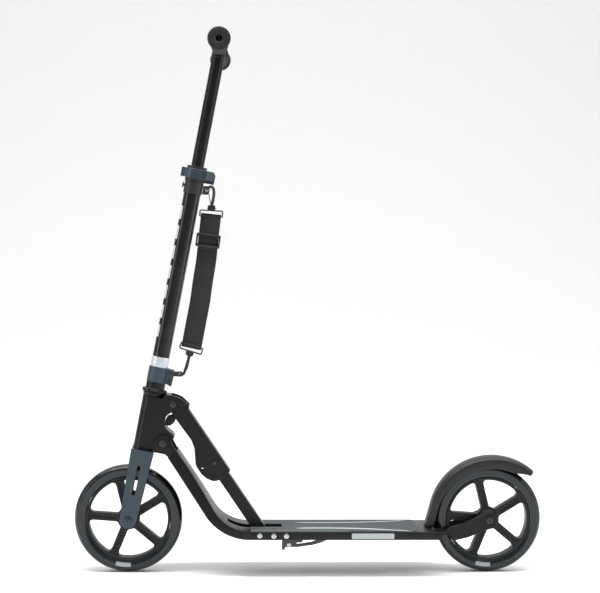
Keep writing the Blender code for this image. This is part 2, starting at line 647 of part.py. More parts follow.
def fender_shell():
    """The section carried from the tail over the wheel and straight down to a level foot."""
    cx, cz = FENDER_CENTRE
    hx, hz = FENDER_HINGE
    turns = [FENDER_TAIL + (FENDER_SHOULDER - FENDER_TAIL) * i / FENDER_STEPS for i in range(FENDER_STEPS + 1)]
    sections = []
    for k, t in enumerate(turns):
        share = k / FENDER_STEPS
        depth = FENDER_SKIRT * min(0.45 + share * 4, 1.0)
        depth -= (FENDER_SKIRT - FENDER_FOOT_SKIRT) * max(share * 2 - 1, 0)
        reach = [(y, FENDER_RADIUS - d) for y, d in fender_section(depth)]
        ring = [(cx + radius * cos(t), y, cz + radius * sin(t)) for y, radius in reach]
        sections.append(ring)
    level = deck_top + FENDER_LIFT
    sections.append([(x - (z - level) * foot_slope, y, level) for x, y, z in sections[-1]])
    return swept([[[(x - hx, y, z - hz) for x, y, z in ring]] for ring in sections])


fender = piece("fender", fender_shell(), FENDER_PLASTIC, fender_axis, smooth=50)
knuckle_half = 0.0095
join(fender, prism([(-0.0078, -0.0036), (0.0020, -0.0036), (0.0036, 0.0), (0.0020, 0.0036), (-0.0066, 0.0050)],
                   -knuckle_half, knuckle_half))
cut(fender, rod(FENDER_PIN_RADIUS + GAP, -0.03, 0.03, "Y"))

bracket_top = deck_top + 0.0025
hinge_x, hinge_z = FENDER_HINGE
bracket_plate = box((hinge_x - 0.0045, -0.0165, deck_top + GAP), (hinge_x + 0.0030, 0.0165, bracket_top))
bracket = piece("fender_bracket", bracket_plate, BLACK_STEEL)
lug = rounded([(hinge_x - 0.0035, deck_top + 0.0010), (hinge_x + 0.0028, deck_top + 0.0010),
               (hinge_x + 0.0036, hinge_z + 0.0036), (hinge_x - 0.0036, hinge_z + 0.0036)], 0.0025, 2)
for side in (-1, 1):
    faces = sorted((side * 0.0100, side * 0.0130))
    join(bracket, prism(lug, faces[0], faces[1]))
cut(bracket, rod(FENDER_PIN_RADIUS + GAP, -0.03, 0.03, "Y", (hinge_x, 0, hinge_z)))
piece("fender_pin", headed_bolt(FENDER_PIN_RADIUS, 0.0034, 0.0012, -0.0133, 0.0145, (hinge_x, 0, hinge_z)),
      BRIGHT_STEEL)

pad_turns = (radians(96), radians(70))
pad_out = FENDER_RADIUS - 0.0034
pad_in = pad_out - 0.0060
pad_centre = (FENDER_CENTRE[0] - hinge_x, FENDER_CENTRE[1] - hinge_z)
pad_outline = arc(*pad_centre, pad_out, *pad_turns, 5) + arc(*pad_centre, pad_in, pad_turns[1], pad_turns[0], 5)
piece("brake_pad", prism(pad_outline, -0.0060, 0.0060), BUMPER_RUBBER, fender_axis)

# ---- kickstand ----------------------------------------------------------------------------

stand_top = KICK_DROP - GAP
bracket_outline = [(-0.0130, stand_top), (-0.0130, -0.0100), (-0.0085, -0.0100), (-0.0065, -0.0050),
                   (0.0060, -0.0050), (0.0100, 0.0025), (0.0260, 0.0045), (0.0260, stand_top)]
bracket_outline = [(KICK_PIVOT[0] + x, KICK_PIVOT[1] + z) for x, z in bracket_outline]
stand_near, stand_far = -0.0360, -0.0180
stand = piece("kickstand_bracket", prism(bracket_outline, stand_near, stand_far), BLACK_STEEL)
cut(stand, box((KICK_PIVOT[0] - 0.0082, stand_near + 0.0045, KICK_PIVOT[1] - 0.0180),
               (KICK_PIVOT[0] + 0.0340, stand_far - 0.0045, KICK_PIVOT[1] + 0.0085)))
cut(stand, rod(KICK_PIN_RADIUS + GAP, -0.05, 0.0, "Y", (KICK_PIVOT[0], 0, KICK_PIVOT[1])))
piece("kickstand_pivot", headed_bolt(KICK_PIN_RADIUS, 0.0045, 0.0020, stand_near - GAP, stand_far + 0.0005,
                                     (KICK_PIVOT[0], 0, KICK_PIVOT[1]), 12), BRIGHT_STEEL)

leg_top = [(-0.0045, 0.0030), (0.0060, 0.0046), (0.0160, -0.0010), (0.0310, 0.0010), (0.0450, 0.0035),
           (0.0560, 0.0075), (0.0680, 0.0120), (0.0760, 0.0126)]
leg_low = [(KICK_LENGTH, 0.0095), (0.0720, 0.0070), (0.0600, 0.0020), (0.0460, -0.0020), (0.0310, -0.0042),
           (0.0160, -0.0062), (0.0060, -0.0060), (-0.0040, -0.0045)]
leg_outline = rounded(leg_top + leg_low, 0.004, 2)
leg_shape = prism(leg_outline, stand_near + 0.0052, stand_far - 0.0052)
leg = piece("kickstand_leg", leg_shape, BLACK_STEEL, kick_axis)
cut(leg, rod(KICK_PIN_RADIUS + GAP, -0.05, 0.0, "Y"))

# ---- folding strut ------------------------------------------------------------------------


def strut_tube_section(low_wall, at):
    half = STRUT_TUBE_WIDTH / 2 - low_wall
    front, back = STRUT_TUBE_FRONT + low_wall, STRUT_TUBE_BACK - low_wall
    corners = [(front, -half), (back, -half), (back, half), (front, half)]
    return [(x, y, at(x)) for x, y in corners]


foot_height = DECK_LOW + 0.0042 - STRUT_FOOT[1]


def foot_cut(x):
    """Along-strut place where the tube is cut level, just above the deck's floor."""
    return (foot_height + x * sin(strut_lean)) / cos(strut_lean)


tube_rings = []
for cut_at in (foot_cut, lambda x: strut_run - STRUT_TUBE_SHORT):
    tube_rings.append([strut_tube_section(0.0, cut_at), strut_tube_section(STRUT_TUBE_WALL, cut_at)])
strut_tube = piece("strut_tube", swept(tube_rings), BLACK_PAINT, strut_axis, smooth=30)
cut(strut_tube, rod(TIE_BOLT_RADIUS + GAP, -0.03, 0.03, "Y"))

sleeve_inner = STRUT_TUBE_WIDTH / 2 + GAP
sleeve_outer = sleeve_inner + STRUT_SLEEVE_WALL
plate_outline = [(STRUT_SLEEVE_BACK, STRUT_SLEEVE_LOW), (STRUT_SLEEVE_BACK, STRUT_SLEEVE_HIGH),
                 (0.0150, STRUT_SLEEVE_HIGH + 0.006)]
plate_outline += arc(0, 0, STRUT_EYE_RADIUS, radians(15), radians(180), 8)
plate_outline += [(-0.0112, -0.0308), (-0.0105, -0.0578), (-0.0100, -0.0768), (-0.0140, -0.0928),
                  (-0.0220, -0.1068), (-0.0293, -0.1198), (-0.0306, -0.1308), (-0.0302, -0.1428),
                  (-0.0264, -0.1549), (-0.0190, -0.1653), (-0.0110, -0.1691), (-0.0060, -0.1691)]
sleeve = piece("strut_sleeve", prism(plate_outline, -sleeve_outer, sleeve_outer), BLACK_PAINT, strut_top_axis,
               smooth=30)
cut(sleeve, box((-0.05, -sleeve_inner, -0.30), (STRUT_TUBE_BACK + 0.0022, sleeve_inner, 0.10)))
cut(sleeve, box((-0.05, -sleeve_inner, STRUT_SLEEVE_HIGH), (0.05, sleeve_inner, 0.10)))
cut(sleeve, rod(STRUT_BOLT_RADIUS + GAP, -0.03, 0.03, "Y"))
LATCH_PLACE = (0.0025, -0.1365)
RELEASE_HOLE = (-0.0239, -0.1349)
RIVET_HOLE = (0.0018, -0.1631)
LATCH_RADIUS = 0.0022
cut(sleeve, rod(LATCH_RADIUS + GAP, -0.03, 0.0, "Y", (LATCH_PLACE[0], 0, LATCH_PLACE[1])))
cut(sleeve, rod(0.0033, -0.03, 0.03, "Y", (RELEASE_HOLE[0], 0, RELEASE_HOLE[1])))
cut(sleeve, rod(0.0018, -0.03, 0.03, "Y", (RIVET_HOLE[0], 0, RIVET_HOLE[1])))
latch_axis = empty("latch_axis", (LATCH_PLACE[0], 0, LATCH_PLACE[1]), 0.0, strut_top_axis)
latch = headed_bolt(LATCH_RADIUS, 0.0036, 0.0018, -sleeve_outer - 0.0045, -sleeve_inner - GAP, (0, 0, 0), 12)
piece("latch_pin", latch, BLACK_STEEL, latch_axis)

# ---- head casting and headset -------------------------------------------------------------

tube_front = -HEAD_TUBE_RADIUS * 0.5
gusset = [(tube_front, HEAD_TUBE_LOW), (0.0150, HEAD_TUBE_LOW), (0.0210, 0.1340), (0.0410, 0.1340),
          (0.0450, 0.1450), (0.0500, 0.1590), (0.0522, 0.1649), (0.0534, 0.1688), (0.0494, 0.1742),
          (0.0397, 0.1791), (0.0324, 0.1857), (0.0303, 0.1909), (0.0296, 0.2007), (0.0323, 0.2073),
          (0.0393, 0.2148), (0.0504, 0.2216), (0.0555, 0.2275), (0.0690, 0.2250), (0.0704, 0.2322),
          (0.0535, 0.2433), (0.0450, 0.2452), (0.0357, 0.2461), (0.0205, HEAD_TUBE_HIGH + 0.0080),
          (0.0180, HEAD_TUBE_HIGH), (tube_front, HEAD_TUBE_HIGH)]
casting = piece("head_casting", prism(gusset, -CASTING_WIDTH / 2, CASTING_WIDTH / 2), BLACK_PAINT, head_frame,
                smooth=30)
join(casting, rod(HEAD_TUBE_RADIUS, HEAD_TUBE_LOW, HEAD_TUBE_HIGH, "Z", segments=SEGMENTS))
cut(casting, rod(HEAD_BORE_RADIUS, HEAD_TUBE_LOW - 0.02, HEAD_TUBE_HIGH + 0.02, "Z", segments=SEGMENTS))
cut(casting, rod(HEAD_TUBE_RADIUS + 0.0040, HEAD_TUBE_HIGH, HEAD_TUBE_HIGH + 0.03, "Z", segments=SEGMENTS))
cut(casting, rod(HEAD_TUBE_RADIUS + 0.0018, HEAD_TUBE_LOW - 0.02, HEAD_TUBE_LOW, "Z", segments=SEGMENTS))

pocket_radius = STRUT_EYE_RADIUS + 0.0012
pocket_low = 0.2010
pocket = [(0.0330, 0.2600)]
pocket += arc(STRUT_IN_HEAD[0], STRUT_IN_HEAD[1], pocket_radius, radians(116), radians(215), 8)
pocket += [(0.0296, 0.2120), (0.0290, pocket_low), (0.0900, pocket_low), (0.0900, 0.2600)]
cut(casting, prism(pocket, -CHEEK_GAP / 2, CHEEK_GAP / 2))
cut(casting, rod(STRUT_BOLT_RADIUS + GAP, -0.05, 0.05, "Y", (STRUT_IN_HEAD[0], 0, STRUT_IN_HEAD[1])))
cut(casting, rod(FOLD_BOLT_RADIUS + GAP, -0.05, 0.05, "Y", (FOLD_IN_HEAD[0], 0, FOLD_IN_HEAD[1])))

cheek_face = CASTING_WIDTH / 2 + GAP
for name, side in (("left", -1), ("right", 1)):
    bolt = headed_bolt(STRUT_BOLT_RADIUS, 0.0062, 0.0022, -cheek_face, -sleeve_inner - GAP, (0, 0, 0))
    if side > 0:
        bmesh.ops.rotate(bolt, cent=(0, 0, 0), matrix=Matrix.Rotation(pi, 3, "Z"), verts=bolt.verts)
    bmesh.ops.translate(bolt, vec=(STRUT_IN_HEAD[0], 0, STRUT_IN_HEAD[1]), verts=bolt.verts)
    piece(f"strut_bolt_{name}", bolt, BLACK_STEEL, head_frame)

bumper = [(0.0331, 0.1862), (0.0425, 0.1885), (0.0480, 0.1955), (0.0497, 0.2010), (0.0430, 0.2080),
          (0.0336, 0.2040), (0.0309, 0.1965), (0.0312, 0.1912)]
piece("fold_bumper", prism(bumper, -0.0130, 0.0130), BUMPER_RUBBER, head_frame)

cup_bore = STEERER_RADIUS + 0.0009
upper_cup = [(cup_bore, HEAD_TUBE_HIGH - 0.010), (HEAD_BORE_RADIUS - GAP, HEAD_TUBE_HIGH - 0.010),
             (HEAD_BORE_RADIUS - GAP, HEAD_TUBE_HIGH + GAP), (HEAD_TUBE_RADIUS, HEAD_TUBE_HIGH + GAP),
             (HEAD_TUBE_RADIUS + 0.0012, HEAD_TUBE_HIGH + 0.0080), (cup_bore, HEAD_TUBE_HIGH + 0.0080)]
piece("upper_cup", turned(upper_cup), BLACK_PAINT, head_frame)
cup_low = FORK_CROWN_TOP + 2 * GAP
lower_cup = [(cup_bore, cup_low), (LOWER_CUP_RADIUS - 0.0015, cup_low), (LOWER_CUP_RADIUS, cup_low + 0.0054),
             (LOWER_CUP_RADIUS, HEAD_TUBE_LOW - GAP), (HEAD_BORE_RADIUS - GAP, HEAD_TUBE_LOW - GAP),
             (HEAD_BORE_RADIUS - GAP, HEAD_TUBE_LOW + 0.010), (cup_bore, HEAD_TUBE_LOW + 0.010)]
piece("lower_cup", turned(lower_cup), BLACK_PAINT, head_frame)

# ---- fork, steerer and column -------------------------------------------------------------

leg_outline = [(-0.0220, FORK_TOP), (0.0210, FORK_TOP)]
leg_outline += arc(axle_in_head[0], axle_in_head[1], FORK_TIP_RADIUS, radians(2), radians(-182), 14)
leg_inner = FORK_GAP / 2
leg_outer = leg_inner + FORK_LEG_THICKNESS
fork = piece("fork", prism(leg_outline, -leg_outer, -leg_inner), SLATE_PAINT, steering_axis, smooth=30)
crown = rounded([(-0.0200, FORK_CROWN_LOW), (0.0190, FORK_CROWN_LOW), (0.0190, FORK_CROWN_TOP),
                 (-0.0200, FORK_CROWN_TOP)], 0.003, 2)
join(fork, prism(crown, -leg_inner - 0.001, leg_inner + 0.001))
join(fork, prism(leg_outline, leg_inner, leg_outer))
join(fork, rod(STEERER_RADIUS, FORK_CROWN_LOW + 0.004, STEERER_TOP, "Z", segments=SEGMENTS))
cut(fork, rod(STEERER_RADIUS - STEERER_WALL, FORK_CROWN_LOW - 0.02, STEERER_TOP + 0.02, "Z", segments=SEGMENTS))
slot_half = 0.0030
slot = arc(-0.0012, FORK_CROWN_LOW - 0.010, slot_half, 0, pi, 4)
slot += arc(-0.0022, FORK_CROWN_LOW - 0.062, slot_half, pi, 2 * pi, 4)
cut(fork, prism(slot, -0.04, 0.04))
cut(fork, rod(AXLE_RADIUS + GAP, -0.05, 0.05, "Y", (axle_in_head[0], 0, axle_in_head[1])))
piece("front_axle_bolt", headed_bolt(AXLE_RADIUS, AXLE_HEAD_RADIUS, 0.004, -leg_outer - GAP, leg_outer - 0.001,
                                     (axle_in_head[0], 0, axle_in_head[1])), BLACK_STEEL, steering_axis)

nut_low = HEAD_TUBE_HIGH + 0.0086
nut_bore, nut_neck, nut_rim = STEERER_RADIUS + GAP, STEERER_RADIUS + 0.0039, STEERER_RADIUS + 0.0092
nut = [(nut_bore, nut_low), (nut_rim, nut_low), (nut_rim, nut_low + 0.0045), (nut_neck, nut_low + 0.0065),
       (nut_neck, CLAMP_LOW - GAP), (nut_bore, CLAMP_LOW - GAP)]
piece("headset_nut", turned(nut), BLACK_PAINT, steering_axis)

column_tube = pipe(COLUMN_RADIUS, COLUMN_RADIUS - COLUMN_WALL, COLUMN_LOW, COLUMN_HIGH)
column = piece("column_tube", column_tube, BLACK_PAINT, steering_axis)
button_place = 0.6400
button_hole = 0.0026
cut(column, rod(button_hole, -0.03, 0.0, "X", (0, 0, button_place)))

clamp_ring = pipe(CLAMP_RADIUS, COLUMN_RADIUS + GAP, CLAMP_LOW, CLAMP_HIGH)
clamp = piece("clamp_collar", clamp_ring, SLATE_PAINT, steering_axis)
ear_block = [(0.0, CLAMP_LOW), (0.0032, CLAMP_LOW), (0.0120, CLAMP_LOW - 0.0030), (0.0136, CLAMP_LOW - 0.0018),
             (0.0145, CLAMP_HIGH - 0.0030), (0.0125, CLAMP_HIGH - 0.0012), (0.0, CLAMP_HIGH)]
clamp_half = 0.0110
join(clamp, prism([(COLUMN_RADIUS + out, height) for out, height in ear_block], -clamp_half, clamp_half))
cut(clamp, rod(COLUMN_RADIUS + GAP, CLAMP_LOW - 0.02, CLAMP_HIGH + 0.02, "Z", segments=SEGMENTS))
cut(clamp, box((COLUMN_RADIUS - 0.0060, -0.0012, CLAMP_LOW - 0.02), (0.05, 0.0012, CLAMP_HIGH + 0.02)))
clamp_bolts = (("upper", CLAMP_HIGH - 0.0080), ("lower", CLAMP_LOW + 0.0065))
clamp_bolt_radius = 0.0020
for name, height in clamp_bolts:
    place = (COLUMN_RADIUS + 0.0085, 0, height)
    cut(clamp, rod(clamp_bolt_radius + GAP, -0.03, 0.03, "Y", place))
    near, far = -clamp_half - GAP, clamp_half - 0.0010
    clamp_bolt = headed_bolt(clamp_bolt_radius, 0.0035, 0.0020, near, far, place, 12)
    piece(f"clamp_bolt_{name}", clamp_bolt, BLACK_STEEL, steering_axis)

piece("reflective_band", pipe(COLUMN_RADIUS + 0.0009, COLUMN_RADIUS + GAP, BAND_LOW, BAND_HIGH), REFLECTIVE,
      steering_axis)

sleeve_ring = pipe(SLEEVE_RADIUS, COLUMN_RADIUS + GAP, SLEEVE_LOW, SLEEVE_HIGH)
sleeve_cap = piece("tube_sleeve", sleeve_ring, BLACK_PLASTIC, steering_axis)
cut(sleeve_cap, rod(button_hole, -0.03, 0.0, "X", (0, 0, button_place)))
button_stem = button_hole - 0.0004
button_back = -SLEEVE_RADIUS - 0.0015
button_tip = 0.0010 - COLUMN_RADIUS
button = turned([(0, button_back - 0.0021), (0.0055, button_back - 0.0021), (0.0060, button_back),
                 (button_stem, button_back), (button_stem, button_tip), (0, button_tip)], "X", 12, hollow=False)
button_axis = empty("button_axis", (0, 0, button_place), 0.0, steering_axis)
piece("height_button", button, BLACK_PLASTIC, button_axis)

eyelet_outline = [(0.0003, 0.6280), (0.0122, 0.6300), (0.0137, 0.6400), (0.0082, 0.6455), (0.0003, 0.6450)]
eyelet_outline = rounded([(SLEEVE_RADIUS + out, height) for out, height in eyelet_outline], 0.002, 2)
eyelet = piece("strap_eyelet", prism(eyelet_outline, -0.0030, 0.0030), SLATE_PAINT, steering_axis)
cut(eyelet, rod(0.0032, -0.01, 0.01, "Y", (SLEEVE_RADIUS + 0.0083, 0, 0.6390)))

quick = piece("quick_collar", pipe(QUICK_RADIUS, BAR_TUBE_RADIUS + GAP, QUICK_LOW, QUICK_HIGH), BLACK_PLASTIC,
              steering_axis)
block = [(-0.0020, 0.6500), (0.0175, 0.6500), (0.0175, 0.6690), (-0.0020, 0.6690)]
block = rounded([(QUICK_RADIUS + out, height) for out, height in block], 0.0015, 2)
join(quick, prism(block, -0.0080, 0.0080))
cut(quick, box((QUICK_RADIUS + 0.0030, -0.0085, 0.6545), (QUICK_RADIUS + 0.0210, 0.0005, 0.6735)))
LEVER_PIVOT = (QUICK_RADIUS + 0.0115, -0.0040)
quick_pin_radius = 0.0015
cut(quick, rod(quick_pin_radius + GAP, 0.6400, 0.6720, "Z", (LEVER_PIVOT[0], LEVER_PIVOT[1], 0)))
quick_pin = rod(quick_pin_radius, 0.6515, 0.6540, "Z", (LEVER_PIVOT[0], LEVER_PIVOT[1], 0), 12)
piece("quick_pin", quick_pin, BLACK_STEEL, steering_axis)

# ---- quick-release lever ------------------------------------------------------------------

lever_low, lever_high = 0.6550, 0.6730
quick_axis = empty("quick_axis", (LEVER_PIVOT[0], LEVER_PIVOT[1], 0), 0.0, steering_axis)
wrap_in = QUICK_RADIUS + 0.0008
wrap_out = wrap_in + 0.0032
lever_plan = arc(0, 0, wrap_in, radians(-62), radians(-150), 12) + [(-QUICK_RADIUS - 0.0085, -0.0060)]
lever_plan += [(-QUICK_RADIUS - 0.0095, -0.0090)] + arc(0, 0, wrap_out, radians(-146), radians(-60), 12)
lever_plan.append((QUICK_RADIUS + 0.0010, -QUICK_RADIUS - 0.0015))
lever_nose = [(0.0155, -0.0062), (0.0140, -0.0012), (0.0085, -0.0012), (0.0072, -0.0050)]
lever_plan += [(QUICK_RADIUS + out, y) for out, y in lever_nose]
lever_plan = [(x - LEVER_PIVOT[0], y - LEVER_PIVOT[1]) for x, y in lever_plan]
lever = prism(lever_plan, lever_low, lever_high, "Z")
piece("quick_lever", lever, SLATE_PAINT, quick_axis, smooth=30)

# ---- handlebar ----------------------------------------------------------------------------

bar = piece("handlebar", rod(BAR_TUBE_RADIUS, BAR_TUBE_LOW, BAR_HEIGHT, "Z", segments=SEGMENTS), BLACK_PAINT,
            steering_axis)
bar_centre = (0, 0, BAR_HEIGHT)
join(bar, rod(CROSSBAR_RADIUS, -BAR_WIDTH / 2, BAR_WIDTH / 2, "Y", bar_centre, 24))
cut(bar, rod(BAR_TUBE_RADIUS - BAR_TUBE_WALL, BAR_TUBE_LOW - 0.02, BAR_HEIGHT - 0.004, "Z", segments=SEGMENTS))
cut(bar, rod(CROSSBAR_RADIUS - BAR_TUBE_WALL, -BAR_WIDTH, BAR_WIDTH, "Y", bar_centre, 24))
for name, side in (("left", -1), ("right", 1)):
    end = BAR_WIDTH / 2 + GRIP_END
    start = end - GRIP_LENGTH
    bore = CROSSBAR_RADIUS + GAP
    shape = [(bore, start), (GRIP_RADIUS, start), (GRIP_RADIUS, end - GRIP_FLANGE_WIDTH),
             (GRIP_FLANGE_RADIUS, end - GRIP_FLANGE_WIDTH + 0.0015), (GRIP_FLANGE_RADIUS, end - 0.0010),
             (0.0135, end), (0.0060, end), (0.0060, end - GRIP_END + GAP), (bore, end - GRIP_END + GAP)]
    grip = turned([(r, -side * along) for r, along in shape], "Y", 20, bar_centre)
    piece(f"grip_{name}", grip, GRIP_RUBBER, steering_axis)

# ---- carrying strap -----------------------------------------------------------------------

strap_frame = empty("strap_frame", (COLUMN_RADIUS, 0, 0), 0.0, steering_axis)
STRAP_LINE = [(0.02709, 0.58515), (0.03008, 0.54706), (0.03343, 0.50700), (0.03464, 0.46756),
              (0.03665, 0.42928), (0.03669, 0.39064), (0.03679, 0.34896)]


def ribbon(line, width):
    """Side-view outline of a band of this width along a line."""
    sides = ([], [])
    for i, point in enumerate(line):
        ahead = Vector(line[min(i + 1, len(line) - 1)]) - Vector(line[max(i - 1, 0)])
        across = Vector((-ahead.y, ahead.x)).normalized() * width / 2
        sides[0].append(tuple(Vector(point) + across))
        sides[1].append(tuple(Vector(point) - across))
    return sides[0] + list(reversed(sides[1]))


def frame_outline(centre, lean, width, height):
    """A rectangle in side view, leaning by an angle about its centre."""
    along, up = Vector((cos(lean), sin(lean))), Vector((-sin(lean), cos(lean)))
    middle = Vector(centre)
    corners = ((-1, -1), (1, -1), (1, 1), (-1, 1))
    return [tuple(middle + along * a * width / 2 + up * b * height / 2) for a, b in corners]


strap_half = STRAP_THICKNESS / 2
piece("strap_webbing", prism(ribbon(STRAP_LINE, STRAP_WIDTH), -strap_half, strap_half), WEBBING, strap_frame)


def strap_loop(name, centre, lean, stem_length, stem_up):
    """A frame for the webbing with the swivel stem of its hook."""
    outer = rounded(frame_outline(centre, lean, STRAP_WIDTH + 0.0070, 0.0140), 0.003, 2)
    loop = piece(name, prism(outer, -0.0030, 0.0030), BLACK_PLASTIC, strap_frame)
    cut(loop, prism(frame_outline(centre, lean, STRAP_WIDTH + 0.0020, 0.0090), -0.01, 0.01))
    up = Vector((-sin(lean), cos(lean))) * stem_up
    foot = Vector(centre) + up * (0.0060 + stem_length / 2)
    join(loop, prism(frame_outline(foot, lean, 0.0140, stem_length + 0.001), -0.0040, 0.0040))


strap_loop("upper_strap_loop", (0.02606, 0.59615), radians(7.5), 0.0090, 1)
strap_loop("lower_strap_loop", (0.03694, 0.33882), radians(-6.5), 0.0080, -1)

SLIDER_CENTRE = (0.02995, 0.54500)
slider = rounded(frame_outline(SLIDER_CENTRE, radians(3.5), STRAP_WIDTH + 0.0080, 0.0260), 0.003, 2)
buckle = piece("strap_slider", prism(slider, -0.0065, 0.0065), BLACK_PLASTIC, strap_frame)
cut(buckle, prism(frame_outline(SLIDER_CENTRE, radians(3.5), STRAP_WIDTH + 0.0025, 0.0600),
                  -strap_half - GAP, strap_half + GAP))


def smooth_line(points, steps=3):
    """A curve through the points, with this many pieces between each two."""
    ends = [points[0]] + list(points) + [points[-1]]
    line = []
    for a, b, c, d in zip(ends, ends[1:], ends[2:], ends[3:]):
        a, b, c, d = Vector(a), Vector(b), Vector(c), Vector(d)
        for i in range(steps):
            t = i / steps
            line.append(b + (c - a) * t / 2 + (a - b * 2.5 + c * 2 - d / 2) * t**2
                        + (b * 1.5 - a / 2 - c * 1.5 + d / 2) * t**3)
    return line + [Vector(points[-1])]


def wire(points, radius, sides=6):
    """A round bar bent along a smooth line through the points."""
    line = smooth_line(points)
    across = Vector((0, 1, 0))
    rings = []
    for i, point in enumerate(line):
        ahead = (line[min(i + 1, len(line) - 1)] - line[max(i - 1, 0)]).normalized()
        across = (across - ahead * across.dot(ahead)).normalized()
        other = ahead.cross(across)
        rings.append([[tuple(point + across * radius * cos(t) + other * radius * sin(t))
                       for t in (2 * pi * k / sides for k in range(sides))]])
    return swept(rings)


def hook(name, points, tongue):
    """A moulded snap hook whose thin spring tongue closes its mouth."""
    body = piece(name, wire(points, HOOK_RADIUS), BLACK_PLASTIC, strap_frame)
    start, end = tongue
    join(body, prism(ribbon([start, end], 0.0012), -0.0012, 0.0012))


UPPER_HOOK = [(0.02356, 0.0000, 0.61348), (0.02495, -0.0010, 0.62137), (0.02444, -0.0035, 0.63348),
              (0.02163, -0.0055, 0.64313), (0.01673, -0.0066, 0.64649), (0.01222, -0.0068, 0.64342),
              (0.01018, -0.0054, 0.63958), (0.01006, 0.0000, 0.63915), (0.01006, 0.0045, 0.63915)]
LOWER_HOOK = [(0.03662, 0.0000, 0.32300), (0.03518, -0.0010, 0.31103), (0.03403, -0.0030, 0.29964),
              (0.03243, -0.0045, 0.29018), (0.02864, -0.0040, 0.28592), (0.02635, 0.0000, 0.28621),
              (0.02729, 0.0040, 0.28771)]
hook("upper_snap_hook", UPPER_HOOK, ((0.02255, 0.61401), (0.01603, 0.62887)))
hook("lower_snap_hook", LOWER_HOOK, ((0.03858, 0.32285), (0.03804, 0.29834)))

RING_HOLE = (0.02624, 0.28680)
ring_plate = arc(RING_HOLE[0], RING_HOLE[1], 0.0052, radians(-100), radians(100), 8)
ring_plate += [(0.0170, RING_HOLE[1] + 0.0030), (0.0112, RING_HOLE[1] + 0.0020),
               (0.0112, RING_HOLE[1] - 0.0080), (0.0170, RING_HOLE[1] - 0.0060)]
ring = piece("strap_ring", prism(ring_plate, -0.0009, 0.0009), BLACK_STEEL, strap_frame)
cut(ring, rod(0.0029, -0.01, 0.01, "Y", (RING_HOLE[0], 0, RING_HOLE[1])))
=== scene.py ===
"""Looks of a folding kick scooter with 205 mm wheels: each piece as it is made and finished.

Metres, +Z up, riding along -X, with the ground at Z = 0. Near side means -Y, the rider's left.
"""

import json
from math import asin, atan2, cos, pi, radians, sin

import bmesh
import bpy
from mathutils import Matrix, Vector


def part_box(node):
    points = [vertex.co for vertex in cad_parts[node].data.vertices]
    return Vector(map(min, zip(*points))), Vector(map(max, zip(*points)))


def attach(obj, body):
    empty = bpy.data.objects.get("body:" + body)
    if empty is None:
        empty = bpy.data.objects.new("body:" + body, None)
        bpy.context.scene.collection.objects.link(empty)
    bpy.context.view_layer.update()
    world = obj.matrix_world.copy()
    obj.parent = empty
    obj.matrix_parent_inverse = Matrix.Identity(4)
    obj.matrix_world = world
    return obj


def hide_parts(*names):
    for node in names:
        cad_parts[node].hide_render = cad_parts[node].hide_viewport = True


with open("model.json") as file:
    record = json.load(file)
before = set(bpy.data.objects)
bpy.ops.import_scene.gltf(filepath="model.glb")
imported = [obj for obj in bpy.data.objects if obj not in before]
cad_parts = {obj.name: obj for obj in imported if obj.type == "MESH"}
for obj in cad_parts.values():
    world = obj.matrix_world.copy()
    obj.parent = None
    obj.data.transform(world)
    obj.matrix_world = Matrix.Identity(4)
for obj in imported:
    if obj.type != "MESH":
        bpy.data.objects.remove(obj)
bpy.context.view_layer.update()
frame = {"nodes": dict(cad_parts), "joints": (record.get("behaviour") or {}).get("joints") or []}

# ---- studio -------------------------------------------------------------------------------
# A pale seamless floor, curved up behind, under a broad white ceiling of light. A long strip
# overhead and one on each side draw the highlights on the tubes, the deck edge and the tyres.


def softbox(name, place, aim, size, power):
    light = bpy.data.lights.new(name, "AREA")
    light.shape = "RECTANGLE"
    light.size, light.size_y = size
    light.energy = power
    lamp = bpy.data.objects.new(name, light)
    lamp.location = place
    lamp.rotation_euler = (Vector(aim) - Vector(place)).to_track_quat("-Z", "Y").to_euler()
    bpy.context.collection.objects.link(lamp)


softbox("ceiling", (0.0, 1.0, 5.5), (0.0, 1.0, 0.0), (11.0, 11.0), 480)
softbox("overhead_strip", (0.0, -0.35, 2.4), (0.0, -0.1, 0.2), (3.0, 0.22), 52)
softbox("front_strip", (-2.7, -0.9, 0.9), (-0.2, 0.0, 0.6), (0.28, 2.4), 24)
softbox("rear_strip", (2.7, -0.7, 0.9), (-0.1, 0.0, 0.5), (0.28, 2.4), 24)

world = bpy.data.worlds.new("studio")
world.use_nodes = True
fill = world.node_tree.nodes["Background"]
fill.inputs["Strength"].default_value = 0.22
backdrop = world.node_tree.nodes.new("ShaderNodeBackground")
backdrop.inputs["Strength"].default_value = 1.8
seen = world.node_tree.nodes.new("ShaderNodeLightPath")
either = world.node_tree.nodes.new("ShaderNodeMixShader")
world.node_tree.links.new(seen.outputs["Is Camera Ray"], either.inputs["Fac"])
world.node_tree.links.new(fill.outputs["Background"], either.inputs[1])
world.node_tree.links.new(backdrop.outputs["Background"], either.inputs[2])
world.node_tree.links.new(either.outputs["Shader"], world.node_tree.nodes["World Output"].inputs["Surface"])
for shade in (fill, backdrop):
    shade.inputs["Color"].default_value = (1.0, 1.0, 1.0, 1.0)
bpy.context.scene.world = world
bpy.context.scene.view_settings.view_transform = "Standard"

